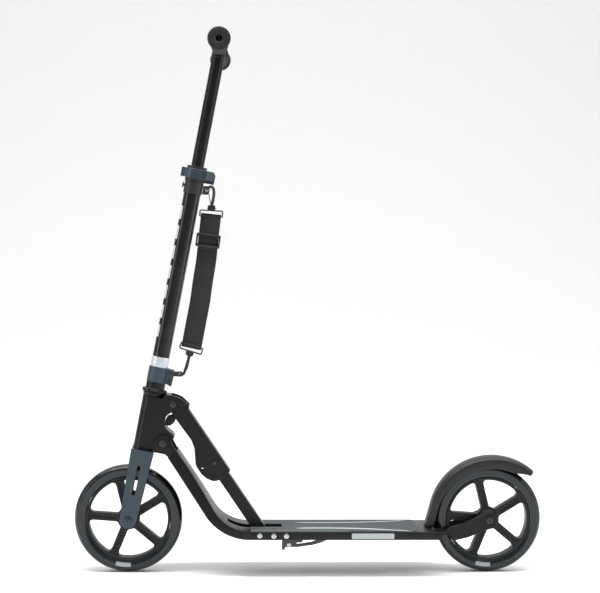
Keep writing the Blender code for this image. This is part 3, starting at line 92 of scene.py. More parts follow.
FLOOR_LENGTH = 20.0
FLOOR_HALF_WIDTH = 12.0
FLOOR_FRONT = -5.0
FLOOR_FLAT = 9.0
SWEEP_RADIUS = 2.5
floor_mesh = bpy.data.meshes.new("floor")
floor_shape = bmesh.new()
bmesh.ops.create_grid(floor_shape, x_segments=1, y_segments=40, size=1.0)
for vert in floor_shape.verts:
    run = (vert.co.y + 1) / 2 * FLOOR_LENGTH
    bend = min(max(run - FLOOR_FLAT, 0) / SWEEP_RADIUS, pi / 2)
    up = max(run - FLOOR_FLAT - SWEEP_RADIUS * pi / 2, 0) + SWEEP_RADIUS * (1 - cos(bend))
    back = FLOOR_FRONT + min(run, FLOOR_FLAT) + SWEEP_RADIUS * sin(bend)
    vert.co = (vert.co.x * FLOOR_HALF_WIDTH, back, up)
for face in floor_shape.faces:
    face.smooth = True
floor_shape.to_mesh(floor_mesh)
floor_shape.free()
floor = bpy.data.objects.new("floor", floor_mesh)
bpy.context.collection.objects.link(floor)
floor_paint = bpy.data.materials.new("floor_paint")
floor_paint.use_nodes = True
floor_paint.node_tree.nodes["Principled BSDF"].inputs["Base Color"].default_value = (0.95, 0.95, 0.95, 1.0)
floor_paint.node_tree.nodes["Principled BSDF"].inputs["Roughness"].default_value = 0.9
floor_mesh.materials.append(floor_paint)

camera_lens = bpy.data.cameras.new("camera")
camera_lens.lens = 91.87
camera_lens.sensor_width = 36.0
camera = bpy.data.objects.new("camera", camera_lens)
camera.location = (-0.1530, -2.900, 0.671)
camera.rotation_euler = (radians(90 - 2.869), radians(-0.52), radians(-2.586))
bpy.context.collection.objects.link(camera)
bpy.context.scene.camera = camera

# ---- tyres --------------------------------------------------------------------------------
# Solid cast polyurethane, poured onto the rim: near-black with a cold sheen, a glossy crowned
# tread, and side walls with two moulded bead lines and one plain pale label.


class Flow:
    """An output in a material's node tree, so that shader sums read as plain arithmetic."""

    def __init__(self, finish, socket):
        self.finish = finish
        self.socket = socket

    def math(self, operation, *others):
        return self.finish.node("ShaderNodeMath", {"operation": operation}, dict(enumerate((self, *others))))

    def __add__(self, other):
        return self.math("ADD", other)

    __radd__ = __add__

    def __mul__(self, other):
        return self.math("MULTIPLY", other)

    __rmul__ = __mul__

    def __sub__(self, other):
        return self.math("SUBTRACT", other)

    def __rsub__(self, other):
        return (self * -1.0) + other

    def __truediv__(self, other):
        return self.math("DIVIDE", other)

    def __pow__(self, other):
        return self.math("POWER", other)

    def within(self, low, high, blur):
        """1 between two values and 0 outside them, with soft edges."""
        return self.ramp(low - blur, low) * self.ramp(high + blur, high)

    def ramp(self, zero_at, one_at):
        """0 at one value and 1 at another, held past both."""
        sockets = {"Value": self, "From Min": zero_at, "From Max": one_at}
        return self.finish.node("ShaderNodeMapRange", {"interpolation_type": "SMOOTHSTEP"}, sockets)


class Finish:
    """A material made from the constants of its surface and whatever varies over it."""

    def __init__(self, name, roughness=0.5, metallic=0.0, coat=0.0, coat_roughness=0.1, specular=0.5,
                 sheen=0.0):
        self.material = bpy.data.materials.new(name)
        self.material.use_nodes = True
        self.tree = self.material.node_tree
        self.shader = self.tree.nodes["Principled BSDF"]
        settings = {"Roughness": roughness, "Metallic": metallic, "Coat Weight": coat,
                    "Coat Roughness": coat_roughness, "Specular IOR Level": specular, "Sheen Weight": sheen}
        for socket, value in settings.items():
            self.shader.inputs[socket].default_value = value

    def node(self, kind, settings=None, sockets=None, output=0):
        """Any node: its own settings first, then a value or a link for each socket named."""
        made = self.tree.nodes.new(kind)
        for name, value in (settings or {}).items():
            setattr(made, name, value)
        for name, value in (sockets or {}).items():
            if isinstance(value, Flow):
                self.tree.links.new(value.socket, made.inputs[name])
            else:
                made.inputs[name].default_value = value
        return Flow(self, made.outputs[output])

    def place(self, centre=(0, 0, 0), turn=(0, 0, 0), scale=(1, 1, 1)):
        """Object coordinates seen from a piece's own centre and lean."""
        here = self.node("ShaderNodeTexCoord", output="Object")
        sockets = {"Vector": here, "Location": centre, "Rotation": turn, "Scale": scale}
        return self.node("ShaderNodeMapping", {"vector_type": "TEXTURE"}, sockets)

    def parts(self, vector):
        """The three numbers of a vector."""
        split = "ShaderNodeSeparateXYZ"
        return [self.node(split, None, {"Vector": vector}, axis) for axis in ("X", "Y", "Z")]

    def grain(self, vector, size, detail=2.0, roughness=0.5):
        """Fine noise with lumps of about this size in metres."""
        sockets = {"Vector": vector, "Scale": 1.0 / size, "Detail": detail, "Roughness": roughness}
        return self.node("ShaderNodeTexNoise", None, sockets)

    def shade(self, factor, dark, light):
        """A colour between two, by a factor."""
        sockets = {"Factor": factor, 6: dark if isinstance(dark, Flow) else (*dark, 1.0),
                   7: light if isinstance(light, Flow) else (*light, 1.0)}
        return self.node("ShaderNodeMix", {"data_type": "RGBA"}, sockets, 2)

    def feed(self, **links):
        """Links what varies over the surface, its colour and its roughness, to the shader."""
        names = {"colour": "Base Color", "roughness": "Roughness"}
        for word, value in links.items():
            self.tree.links.new(value.socket, self.shader.inputs[names[word]])

    def relief(self, height, depth, strength=1.0):
        """Raises and sinks the surface by a height, given in parts of a depth in metres."""
        sockets = {"Height": height, "Distance": depth, "Strength": strength}
        self.tree.links.new(self.node("ShaderNodeBump", None, sockets).socket, self.shader.inputs["Normal"])


def spun(profile, steps, place, axis="Y", closed=True):
    """A profile of (radius, along) turned about an axis through a place."""
    shape = bmesh.new()
    points = [shape.verts.new((radius, 0, along)) for radius, along in profile]
    edges = [shape.edges.new(pair) for pair in zip(points, points[1:])]
    if closed:
        edges.append(shape.edges.new((points[-1], points[0])))
    bmesh.ops.spin(shape, geom=points + edges, axis=(0, 0, 1), cent=(0, 0, 0), steps=steps, angle=2 * pi,
                   use_merge=True)
    bmesh.ops.remove_doubles(shape, verts=shape.verts, dist=1e-6)
    turns = {"Y": Matrix.Rotation(pi / 2, 4, "X"), "X": Matrix.Rotation(pi / 2, 4, "Y"),
             "Z": Matrix.Identity(4)}
    bmesh.ops.transform(shape, matrix=Matrix.Translation(place) @ turns[axis], verts=shape.verts)
    bmesh.ops.recalc_face_normals(shape, faces=shape.faces)
    return shape


def finished(name, shape, finish, body, nodes=(), sharp=35):
    """Turns a bmesh into a piece that rides a body and stands for its CAD nodes."""
    mesh = bpy.data.meshes.new(name)
    shape.to_mesh(mesh)
    shape.free()
    mesh.materials.append(finish.material)
    mesh.shade_smooth()
    mesh.set_sharp_from_angle(angle=radians(sharp))
    piece = bpy.data.objects.new(name, mesh)
    bpy.context.collection.objects.link(piece)
    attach(piece, body)
    if nodes:
        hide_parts(*nodes)
    return piece


def centre_of(node):
    low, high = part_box(node)
    return (Vector(low) + Vector(high)) / 2


def half_ellipse(inner, outer, half_width, steps):
    """Crown of a tyre from one side wall to the other, as (radius, along)."""
    turns = [pi / 2 - pi * i / steps for i in range(steps + 1)]
    return [(inner + (outer - inner) * cos(t), half_width * sin(t)) for t in turns]


def tyre_finish(side, centre):
    """Cast polyurethane: radius and turn about the axle place the bead lines and the label."""
    cast = Finish(f"{side}_tyre_cast", roughness=0.2, coat=0.15, coat_roughness=0.06, specular=0.4)
    here = cast.place(centre)
    x, y, z = cast.parts(here)
    radius = (x * x + z * z).math("SQRT")
    turn = z.math("ARCTAN2", x)
    wall = y.math("ABSOLUTE").ramp(0.0118, 0.0132)
    bead = radius.within(0.0862, 0.0868, 0.0004) + radius.within(0.0945, 0.0949, 0.0004)
    foot = (turn + radians(96)).math("ABSOLUTE")
    label = foot.ramp(radians(9.4), radians(9.0)) * radius.within(0.0840, 0.0915, 0.0003)
    rule = (foot * 90).math("SINE").math("ABSOLUTE").ramp(0.05, 0.35)
    label = label * (0.45 + rule * 0.4)
    cloud = cast.grain(here, 0.018, 3.0)
    bloom = cast.grain(here, 0.05, 3.0).ramp(0.3, 0.65)
    clear = wall * radius.within(0.0700, 0.0935, 0.0012) * (0.35 + bloom * 0.65)
    core = cast.shade(clear, (0.0035, 0.0040, 0.0045), (0.005, 0.013, 0.017))
    cast.feed(colour=cast.shade(label * wall, core, (0.42, 0.46, 0.50)),
              roughness=0.13 + cloud * 0.08 + label * wall * 0.25)
    cast.relief(bead * wall + cast.grain(here, 0.0009) * 0.08, 0.0004, 0.8)
    return cast


TYRE_RADIUS = (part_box("front_tyre")[1][2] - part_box("front_tyre")[0][2]) / 2
SEAT_RADIUS = 0.0803
for side in ("front", "rear"):
    axle = centre_of(f"{side}_tyre")
    crown = half_ellipse(TYRE_RADIUS - 0.0090, TYRE_RADIUS - 0.0001, 0.0149, 26)
    near_wall = [(SEAT_RADIUS, 0.0122), (SEAT_RADIUS + 0.0012, 0.0134), (SEAT_RADIUS + 0.0040, 0.0146)]
    outline = near_wall + crown + [(radius, -along) for radius, along in reversed(near_wall)]
    finished(f"{side}_tyre_cast", spun(outline, 144, axle), tyre_finish(side, axle), f"{side}_wheel",
             [f"{side}_tyre"], 50)

# ---- rims ---------------------------------------------------------------------------------
# Injection-moulded nylon with five hollow-faced spokes. The band, the spokes and the hub are
# one moulding; each spoke has a long sunk channel on both faces and soft window edges.


def arc(centre, radius, start, end, steps):
    """Points along an arc in a flat drawing, with angles in radians."""
    turns = [start + (end - start) * i / steps for i in range(steps + 1)]
    return [(centre[0] + radius * cos(t), centre[1] + radius * sin(t)) for t in turns]


def rounded(corners, radii, steps=5):
    """A closed drawing with each corner turned into a soft curve of its own radius."""
    if not hasattr(radii, "__len__"):
        radii = [radii] * len(corners)
    drawn = []
    for i, (corner, radius) in enumerate(zip(corners, radii)):
        here = Vector(corner)
        before = Vector(corners[i - 1]) - here
        after = Vector(corners[(i + 1) % len(corners)]) - here
        half = before.angle(after) / 2
        reach = min(radius * abs(cos(half) / sin(half)), before.length / 2.1, after.length / 2.1)
        if radius == 0 or reach < 1e-6:
            drawn.append(tuple(here))
            continue
        start, end = here + before.normalized() * reach, here + after.normalized() * reach
        for k in range(steps + 1):
            t = k / steps
            drawn.append(tuple(start * (1 - t) ** 2 + here * 2 * t * (1 - t) + end * t**2))
    return drawn


def plate(outline, low, high, edge=0.0, steps=3, axis="Y"):
    """A drawing in side view cut from plate, with its rims eased by a radius."""
    shape = bmesh.new()
    at = (lambda a, b: (a, low, b)) if axis == "Y" else (lambda a, b: (a, b, low))
    face = shape.faces.new([shape.verts.new(at(a, b)) for a, b in outline])
    grown = bmesh.ops.extrude_face_region(shape, geom=[face])
    lifted = [item for item in grown["geom"] if isinstance(item, bmesh.types.BMVert)]
    push = (0, high - low, 0) if axis == "Y" else (0, 0, high - low)
    bmesh.ops.translate(shape, vec=push, verts=lifted)
    bmesh.ops.recalc_face_normals(shape, faces=shape.faces)
    if edge:
        caps = {face for face in shape.faces if len(face.verts) == len(outline) and len(outline) != 4}
        if not caps:
            across = 1 if axis == "Y" else 2
            caps = {face for face in shape.faces if abs(face.normal[across]) > 0.9}
        rims = [e for e in shape.edges if len(set(e.link_faces) & caps) == 1]
        bmesh.ops.bevel(shape, geom=rims, offset=edge, offset_type="OFFSET", segments=steps, profile=0.5,
                        affect="EDGES", material=-1, clamp_overlap=True)
    return shape


def worked(shape, *steps):
    """Joins shapes to a blank or cuts them from it, as ("UNION" or "DIFFERENCE", shape) pairs."""
    blank = bpy.data.objects.new("blank", bpy.data.meshes.new("blank"))
    shape.to_mesh(blank.data)
    shape.free()
    bpy.context.collection.objects.link(blank)
    tools = []
    for operation, other in steps:
        tool = bpy.data.objects.new("tool", bpy.data.meshes.new("tool"))
        other.to_mesh(tool.data)
        other.free()
        bpy.context.collection.objects.link(tool)
        tools.append(tool)
        change = blank.modifiers.new("change", "BOOLEAN")
        change.operation = operation
        change.object = tool
    graph = bpy.context.evaluated_depsgraph_get()
    result = bmesh.new()
    result.from_mesh(bpy.data.meshes.new_from_object(blank.evaluated_get(graph)))
    for helper in [blank, *tools]:
        bpy.data.objects.remove(helper, do_unlink=True)
    bmesh.ops.remove_doubles(result, verts=result.verts, dist=1e-6)
    return result


def copy_turned(shape, angle, axis="Y"):
    """A copy of a shape turned about an axis through the origin."""
    twin = shape.copy()
    bmesh.ops.transform(twin, matrix=Matrix.Rotation(angle, 4, axis), verts=twin.verts)
    return twin


def pin(radius, low, high, place=(0, 0, 0), axis="Y", steps=24, ease=0.0):
    """A solid round bar along an axis, with its two rims eased."""
    sign = -1 if axis == "Y" else 1
    ends = sorted((sign * low, sign * high))
    profile = [(0, ends[0]), (radius - ease, ends[0]), (radius, ends[0] + ease), (radius, ends[1] - ease),
               (radius - ease, ends[1]), (0, ends[1])]
    if not ease:
        profile = [(0, ends[0]), (radius, ends[0]), (radius, ends[1]), (0, ends[1])]
    return spun(profile, steps, place, axis, closed=False)


SPOKES = 5
SPOKE_PHASE = radians(32)
SPOKE_HALF = 0.0075
WINDOW_OUTER = 0.0745
WINDOW_INNER = 0.0215
WEB_HALF = 0.0090


def window():
    """The opening between two spokes, with its sides parallel to them and its corners filleted."""
    gap = 2 * pi / SPOKES
    outer_turn = asin(SPOKE_HALF / WINDOW_OUTER)
    inner_turn = asin(SPOKE_HALF / WINDOW_INNER)
    outer = arc((0, 0), WINDOW_OUTER, outer_turn, gap - outer_turn, 14)
    inner = arc((0, 0), WINDOW_INNER, gap - inner_turn, inner_turn, 3)
    radii = [0.011] + [0.0] * 13 + [0.011] + [0.004] + [0.0] * 2 + [0.004]
    return soften_corners(outer + inner, radii)


def soften_corners(outline, radii):
    """Fillets only the corners that have a radius, along the long sides that meet there."""
    drawn = []
    for i, (corner, radius) in enumerate(zip(outline, radii)):
        here = Vector(corner)
        if not radius:
            if not any((here - Vector(outline[k])).length < r * 0.8 for k, r in enumerate(radii) if r):
                drawn.append(tuple(here))
            continue
        before = (Vector(outline[i - 1]) - here).normalized()
        after = (Vector(outline[(i + 1) % len(outline)]) - here).normalized()
        start, end = here + before * radius * 0.8, here + after * radius * 0.8
        for k in range(7):
            t = k / 6
            drawn.append(tuple(start * (1 - t) ** 2 + here * 2 * t * (1 - t) + end * t**2))
    return drawn


def rim_blank():
    """The moulding before its spoke channels, centred on the origin."""
    bore = 0.0113
    band = [(0.0705, WEB_HALF), (0.0735, 0.0096), (0.0752, 0.0122), (0.0762, 0.0129), (0.0795, 0.0129),
            (0.0799, 0.0124)]
    hub = [(bore, 0.0198), (0.0142, 0.0198), (0.0150, 0.0190), (0.0180, 0.0112), (0.0192, 0.0094),
           (0.0215, WEB_HALF), (0.0220, WEB_HALF - 0.0004)]
    near = hub + [(0.0700, WEB_HALF - 0.0004)] + band
    profile = near + [(radius, -along) for radius, along in reversed(near)]
    return spun(profile, 120, (0, 0, 0))


def spoke_channel(turn):
    """A sunk channel with round ends on both faces of a spoke."""
    inner, outer, half = 0.0270, 0.0670, 0.0030
    drawing = arc((outer, 0), half, -pi / 2, pi / 2, 6) + arc((inner, 0), half, pi / 2, 3 * pi / 2, 6)
    cutters = []
    for low, high in ((-0.012, -WEB_HALF + 0.0026), (WEB_HALF - 0.0026, 0.012)):
        cutters.append(copy_turned(plate(drawing, low, high), -turn))
    return cutters


rim_steps = []
for k in range(SPOKES):
    spoke_turn = SPOKE_PHASE + 2 * pi * k / SPOKES
    rim_steps.append(("DIFFERENCE", copy_turned(plate(window(), -0.03, 0.03), -spoke_turn)))
    rim_steps += [("DIFFERENCE", cutter) for cutter in spoke_channel(spoke_turn)]
rim_master = worked(rim_blank(), *rim_steps)


def moulded_finish(name, specular, dark, light, cloud, gloss, pores, strength):
    """Moulded plastic or rubber: slow clouds of colour and gloss over the fine grain of the tool.

    A cloud is (size, detail), a gloss (size, detail, lowest, range) and pores (size, detail, depth).
    """
    plastic = Finish(name, specular=specular)
    here = plastic.place()
    plastic.feed(colour=plastic.shade(plastic.grain(here, *cloud), dark, light),
                 roughness=gloss[2] + plastic.grain(here, *gloss[:2]) * gloss[3])
    plastic.relief(plastic.grain(here, *pores[:2]), pores[2], strength)
    return plastic


moulded_nylon = moulded_finish("moulded_nylon", 0.3, (0.006, 0.006, 0.0065), (0.015, 0.015, 0.016),
                               (0.012, 4.0), (0.003, 3.0, 0.36, 0.18), (0.0005, 2.0, 0.00008), 0.8)


def break_edges(piece, width, steps, limit):
    """Rounds every edge sharper than a limit in degrees."""
    ease = piece.modifiers.new("ease", "BEVEL")
    ease.width = width
    ease.segments = steps
    ease.limit_method = "ANGLE"
    ease.angle_limit = radians(limit)


for side in ("front", "rear"):
    moulding = rim_master.copy()
    bmesh.ops.translate(moulding, vec=centre_of(f"{side}_rim"), verts=moulding.verts)
    rim = finished(f"{side}_rim_moulding", moulding, moulded_nylon, f"{side}_wheel",
                   [f"{side}_rim"], 30)
    break_edges(rim, 0.0008, 2, 50)
rim_master.free()

# ---- bearings -----------------------------------------------------------------------------
# Sealed 608 ball bearings pressed into the hubs: bright races with a pressed shield between.


def steel_finish(name, shade, roughness, depth):
    """Turned steel with the fine rings of the tool."""
    steel = Finish(name, roughness=roughness, metallic=1.0)
    here = steel.place()
    smear = steel.grain(here, 0.0022, 4.0)
    steel.feed(colour=steel.shade(smear, tuple(c * 0.72 for c in shade), shade),
               roughness=roughness - 0.06 + smear * 0.2)
    steel.relief(steel.grain(here, 0.00035, 2.0), depth, 0.6)
    return steel


bright_steel = steel_finish("zinc_plated_steel", (0.66, 0.66, 0.64), 0.32, 0.00003)
black_steel = steel_finish("blackened_steel", (0.075, 0.075, 0.078), 0.36, 0.00005)

bearing = [(0.0043, -0.0034), (0.0045, -0.0035), (0.0060, -0.0035), (0.0062, -0.0031), (0.0088, -0.0031),
           (0.0091, -0.0035), (0.0107, -0.0035), (0.01095, -0.0032)]
bearing += [(radius, -along) for radius, along in reversed(bearing)]
for wheel in ("front", "rear"):
    for side in ("left", "right"):
        node = f"{wheel}_bearing_{side}"
        ring = spun(bearing, 48, centre_of(node))
        finished(f"{node}_ring", ring, bright_steel, f"{wheel}_wheel", [node])

# ---- deck and neck ------------------------------------------------------------------------
# One hollow aluminium extrusion, bent up at the front into a neck that narrows to two welded
# lugs. It is blasted and powder-coated satin black, with a fine even orange peel.


def powder_coat(name, dark, light, roughness=0.45, peel=0.00022, metallic=0.0, flake=0.0):
    """Sprayed powder paint: fine peel, slow changes of gloss and, for some colours, metal flake."""
    paint = Finish(name, roughness=roughness, metallic=metallic, specular=0.22)
    here = paint.place()
    cloud = paint.grain(here, 0.035, 4.0)
    speck = paint.grain(here, 0.0006, 1.0)
    tint = cloud * 0.55 + speck * 0.35
    if flake:
        cells = {"Vector": here, "Scale": 1.0 / 0.0004}
        tint = tint + paint.node("ShaderNodeTexVoronoi", None, cells).ramp(0.5, 0.1) * flake
    paint.feed(colour=paint.shade(tint, dark, light), roughness=roughness - 0.07 + cloud * 0.14)
    paint.relief(paint.grain(here, peel * 3, 3.0), peel / 3, 0.6)
    return paint


satin_black = powder_coat("satin_black_powder", (0.0045, 0.0045, 0.0050), (0.012, 0.012, 0.0125), 0.33)

DECK_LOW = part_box("deck")[0][2]
DECK_HIGH = 0.0155
DECK_HALF = 0.0600
DECK_REAR = 0.2420
REAR_SLANT = 0.0150
BEND_START = -0.1150
BEND_RADIUS = 0.0990
NECK_SLOPE = radians(56.3)
NECK_RUN = 0.1285
NECK_HALF = 0.0320
NECK_HIGH = 0.0210
FLAT_RUN = DECK_REAR - BEND_START
BEND_RUN = BEND_RADIUS * NECK_SLOPE
WHOLE_RUN = FLAT_RUN + BEND_RUN + NECK_RUN


def underside(distance):
    """Place and upward turn of the deck's underside, measured forward from its rear end."""
    if distance <= FLAT_RUN:
        return Vector((DECK_REAR - distance, 0, DECK_LOW)), 0.0
    if distance <= FLAT_RUN + BEND_RUN:
        turn = (distance - FLAT_RUN) / BEND_RADIUS
        rise = BEND_RADIUS * (1 - cos(turn))
        return Vector((BEND_START - BEND_RADIUS * sin(turn), 0, DECK_LOW + rise)), turn
    corner, turn = underside(FLAT_RUN + BEND_RUN)
    return corner + Vector((-cos(turn), 0, sin(turn))) * (distance - FLAT_RUN - BEND_RUN), turn


def neck_share(distance):
    """0 on the flat deck and 1 at the lugs, eased where the neck starts."""
    t = min(max((distance - FLAT_RUN) / (WHOLE_RUN - FLAT_RUN), 0.0), 1.0)
    return t * t * (3 - 2 * t) * 0.4 + t * 0.6


def deck_high(distance):
    return DECK_HIGH + (NECK_HIGH - DECK_HIGH) * min(neck_share(distance) * 1.5, 1.0)


def station(distance, across=True, slant=0.0):
    """Placement of the extrusion's section at a distance, narrowed and deepened for the neck."""
    place, turn = underside(distance)
    wide = 1.0 + (NECK_HALF / DECK_HALF - 1.0) * neck_share(distance) if across else 1.0
    lean = Matrix.Identity(4)
    lean[0][2] = slant
    size = Matrix.Diagonal((1.0, wide, deck_high(distance) / DECK_HIGH, 1.0))
    return Matrix.Translation(place) @ Matrix.Rotation(turn, 4, "Y") @ lean @ size


def swept(section, stations):
    """A section of (side, up) points carried through placements, each stretch pulled from the last."""
    shape = bmesh.new()
    face = shape.faces.new([shape.verts.new(stations[0] @ Vector((0, side, up))) for side, up in section])
    for before, after in zip(stations, stations[1:]):
        inner = [face] if len(face.verts[0].link_faces) > 1 else []
        grown = bmesh.ops.extrude_face_region(shape, geom=[face])
        face = next(item for item in grown["geom"] if isinstance(item, bmesh.types.BMFace))
        bmesh.ops.delete(shape, geom=[old for old in inner if old.is_valid], context="FACES_ONLY")
        bmesh.ops.transform(shape, matrix=after @ before.inverted(), verts=face.verts)
    bmesh.ops.recalc_face_normals(shape, faces=shape.faces)
    return shape


def box_outline(half, low, high):
    return [(-half, low), (half, low), (half, high), (-half, high)]


deck_section = rounded(box_outline(DECK_HALF, 0.0, DECK_HIGH), 0.0024, 5)
deck_stops = [DECK_HIGH] + [FLAT_RUN + BEND_RUN * i / 28 for i in range(29)]
deck_stops += [FLAT_RUN + BEND_RUN + NECK_RUN * i / 6 for i in range(1, 7)]
deck_stations = [station(0.0, slant=REAR_SLANT / DECK_HIGH)] + [station(stop) for stop in deck_stops]



def joint(name):
    return next(found for found in frame["joints"] if found["name"] == name)


FOLD_PLACE = Vector(joint("fold_hinge")["pos_m"])
CASTING_HALF = 0.0220
LUG_INNER = CASTING_HALF + 0.0003
LUG_THICK = 0.0085
along_neck = Vector((-cos(NECK_SLOPE), sin(NECK_SLOPE)))
over_neck = Vector((sin(NECK_SLOPE), cos(NECK_SLOPE)))
tip = Vector((deck_stations[-1].translation.x, deck_stations[-1].translation.z))
boss_turn = atan2(over_neck.y, over_neck.x)
lug_drawing = [tuple(tip - along_neck * 0.030 + over_neck * 0.0012),
               tuple(tip - along_neck * 0.030 + over_neck * 0.0198), tuple(tip + over_neck * 0.0198)]
lug_drawing += arc((FOLD_PLACE.x, FOLD_PLACE.z), 0.0150, boss_turn, boss_turn + pi, 24)
lug_drawing += [tuple(tip + over_neck * 0.0012)]

deck_work = []
for side in (-1, 1):
    faces = sorted((side * LUG_INNER, side * (LUG_INNER + LUG_THICK)))
    deck_work.append(("UNION", plate(lug_drawing, faces[0], faces[1], 0.0014)))
    out = side * (LUG_INNER + LUG_THICK + 0.0002) - 0.0004
    deck_work.append(("UNION", pin(0.0098, 0.0, 0.0008, FOLD_PLACE + Vector((0, out, 0)), steps=40)))

SLOT_HALF = 0.0140
SLOT_FRONT = -0.1620
SLOT_REAR = -0.0520
slot_section = rounded(box_outline(SLOT_HALF, 0.0026, 0.0260), 0.0015, 2)
slot_stops = [DECK_REAR - SLOT_REAR + (SLOT_REAR - SLOT_FRONT) * 1.03 * i / 24 for i in range(25)]
deck_work.append(("DIFFERENCE", swept(slot_section, [station(stop, across=False) for stop in slot_stops])))
pocket_ends = (-0.030, 0.070)
for low, high in ((-0.0160, 0.0160), (0.0190, 0.0570), (-0.0570, -0.0190)):
    pocket = [(low, 0.0030), (high, 0.0030), (high, DECK_HIGH - 0.0030), (low, DECK_HIGH - 0.0030)]
    depth = [station(stop) for stop in pocket_ends]
    deck_work.append(("DIFFERENCE", swept(rounded(pocket, 0.0012, 2), depth)))
notch = [(-0.0213, -0.010), (0.0213, -0.010), (0.0213, 0.030), (-0.0213, 0.030)]
deck_work.append(("DIFFERENCE", swept(notch, [station(-0.040), station(0.0065)])))
extrusion = worked(swept(deck_section, deck_stations), *deck_work)
finished("deck_extrusion", extrusion, satin_black, "root", ["deck"], 32)

# ---- grip tape ----------------------------------------------------------------------------
# Self-adhesive abrasive sheet laid on the flat of the deck and cut round the strut's slot:
# grey mineral grains in resin, printed with plain sweeping stripes, with a painted highlight near each long
# edge.


def tape_finish():
    """Coarse glinting grains, three pale stripes that sweep along the deck, and a painted highlight near each
    long edge.
    """
    tape = Finish("mineral_grip_tape", roughness=0.85, specular=0.35)
    here = tape.place()
    x, y, z = tape.parts(here)
    grains = tape.node("ShaderNodeTexVoronoi", None, {"Vector": here, "Scale": 1.0 / 0.0011}).ramp(0.0, 0.75)
    dust = tape.grain(here, 0.03, 4.0)
    sweep = ((x - 0.02) / 0.18) ** 2 * 0.030
    stripes = (y + sweep).within(-0.0300, -0.0255, 0.0008)
    stripes = stripes + (y + sweep * 1.35).within(-0.0215, -0.0195, 0.0006)
    stripes = stripes + (y - sweep * 0.8).within(0.0240, 0.0275, 0.0008)
    stripes = stripes * x.within(-0.010, 0.175, 0.02)
    # Painted highlight: a pale line near each long edge of the tape, standing for light caught by the deck's
    # top edge.
    edge = y.math("ABSOLUTE").within(0.0530, 0.0550, 0.0004) * x.within(-0.105, 0.060, 0.02)
    base = tape.shade(grains * 0.6 + dust * 0.4, (0.024, 0.028, 0.030), (0.088, 0.097, 0.101))
    # The tape colour: the printed stripes, plus the painted edge highlight.
    print_and_painted_highlight = tape.shade(((stripes + edge * 0.6) * (0.65 + grains * 0.35)).math("MINIMUM", 1.0), base,
                         (0.56, 0.60, 0.61))
    tape.feed(colour=print_and_painted_highlight, roughness=0.72 + grains * 0.2)
    tape.relief(grains + tape.grain(here, 0.0007, 2.0) * 0.5, 0.00035, 0.9)
    return tape


tape_low = DECK_LOW + DECK_HIGH + 0.0003
tape_front, tape_rear, tape_half, cut_half = BEND_START + 0.003, 0.2050, 0.0570, SLOT_HALF + 0.0005
tape_drawing = [(tape_front, -tape_half), (tape_rear, -tape_half), (tape_rear, tape_half),
                (tape_front, tape_half), (tape_front, cut_half), (SLOT_REAR + 0.001, cut_half),
                (SLOT_REAR + 0.001, -cut_half), (tape_front, -cut_half)]
tape_corners = [0.004, 0.007, 0.007, 0.004, 0.002, 0.006, 0.006, 0.002]
finished("grip_tape_sheet", plate(rounded(tape_drawing, tape_corners), tape_low, tape_low + 0.0007, axis="Z"),
         tape_finish(), "root", ["grip_tape"])

# ---- bolts --------------------------------------------------------------------------------
# Button-head screws with hex sockets. The three through the deck are zinc plated and have a
# nut head on the far side; the axles and the hinge bolts are blackened.


def socket_bolt(node, shank, head, finish, body, flip=False, far_head=False):
    """A button-head screw along Y in its CAD place, with its socket on the near end."""
    low, high = (Vector(corner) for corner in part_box(node))
    middle = (low + high) / 2
    reach, radius = (high.y - low.y) / 2, (high.x - low.x) / 2
    dome = [(radius * 0.985, reach - head), (radius, reach - head * 0.75),
            (radius * 0.93, reach - head * 0.3), (radius * 0.72, reach - head * 0.06), (radius * 0.55, reach),
            (0, reach)]
    far = [(0, -reach), (shank * 0.85, -reach), (shank, -reach + 0.0006)]
    if far_head:
        far = [(0, -reach), (radius * 0.62, -reach), (radius * 0.92, -reach + head * 0.25),
               (radius * 0.985, -reach + head), (shank, -reach + head)]
    blank = spun(far + [(shank, reach - head)] + dome, 32, (0, 0, 0), closed=False)
    hexagon = arc((0, 0), radius * 0.48, 0, 2 * pi * 5 / 6, 5)
    depth = min(head * 0.8, 0.0028)
    sockets = [("DIFFERENCE", plate(hexagon, -reach - 0.001, -reach + depth))]
    if far_head:
        sockets.append(("DIFFERENCE", plate(hexagon, reach - depth, reach + 0.001)))
    bolt = worked(blank, *sockets)
    if flip:
        bmesh.ops.rotate(bolt, cent=(0, 0, 0), matrix=Matrix.Rotation(pi, 3, "Z"), verts=bolt.verts)
    bmesh.ops.translate(bolt, vec=middle, verts=bolt.verts)
    return finished(f"{node}_screw", bolt, finish, body, [node], 30)


for node in ("strut_pivot_bolt", "tie_bolt_front", "tie_bolt_rear"):
    socket_bolt(node, 0.0025, 0.0022, bright_steel, "root", far_head=True)
for node in ("fold_bolt", "rear_axle_bolt"):
    socket_bolt(node, 0.0040, 0.0040, black_steel, "root")
socket_bolt("kickstand_pivot", 0.0025, 0.0020, bright_steel, "root")
socket_bolt("fender_pin", 0.0020, 0.0012, bright_steel, "root")
socket_bolt("front_axle_bolt", 0.0040, 0.0040, black_steel, "steering")
for side in ("left", "right"):
    socket_bolt(f"strut_bolt_{side}", 0.0030, 0.0022, black_steel, "head", flip=side == "right")
for end in ("upper", "lower"):
    socket_bolt(f"clamp_bolt_{end}", 0.0020, 0.0020, black_steel, "steering")

# ---- side reflectors ----------------------------------------------------------------------
# Clear moulded strips let into each side of the deck, with rows of tiny prisms behind a
# smooth face.

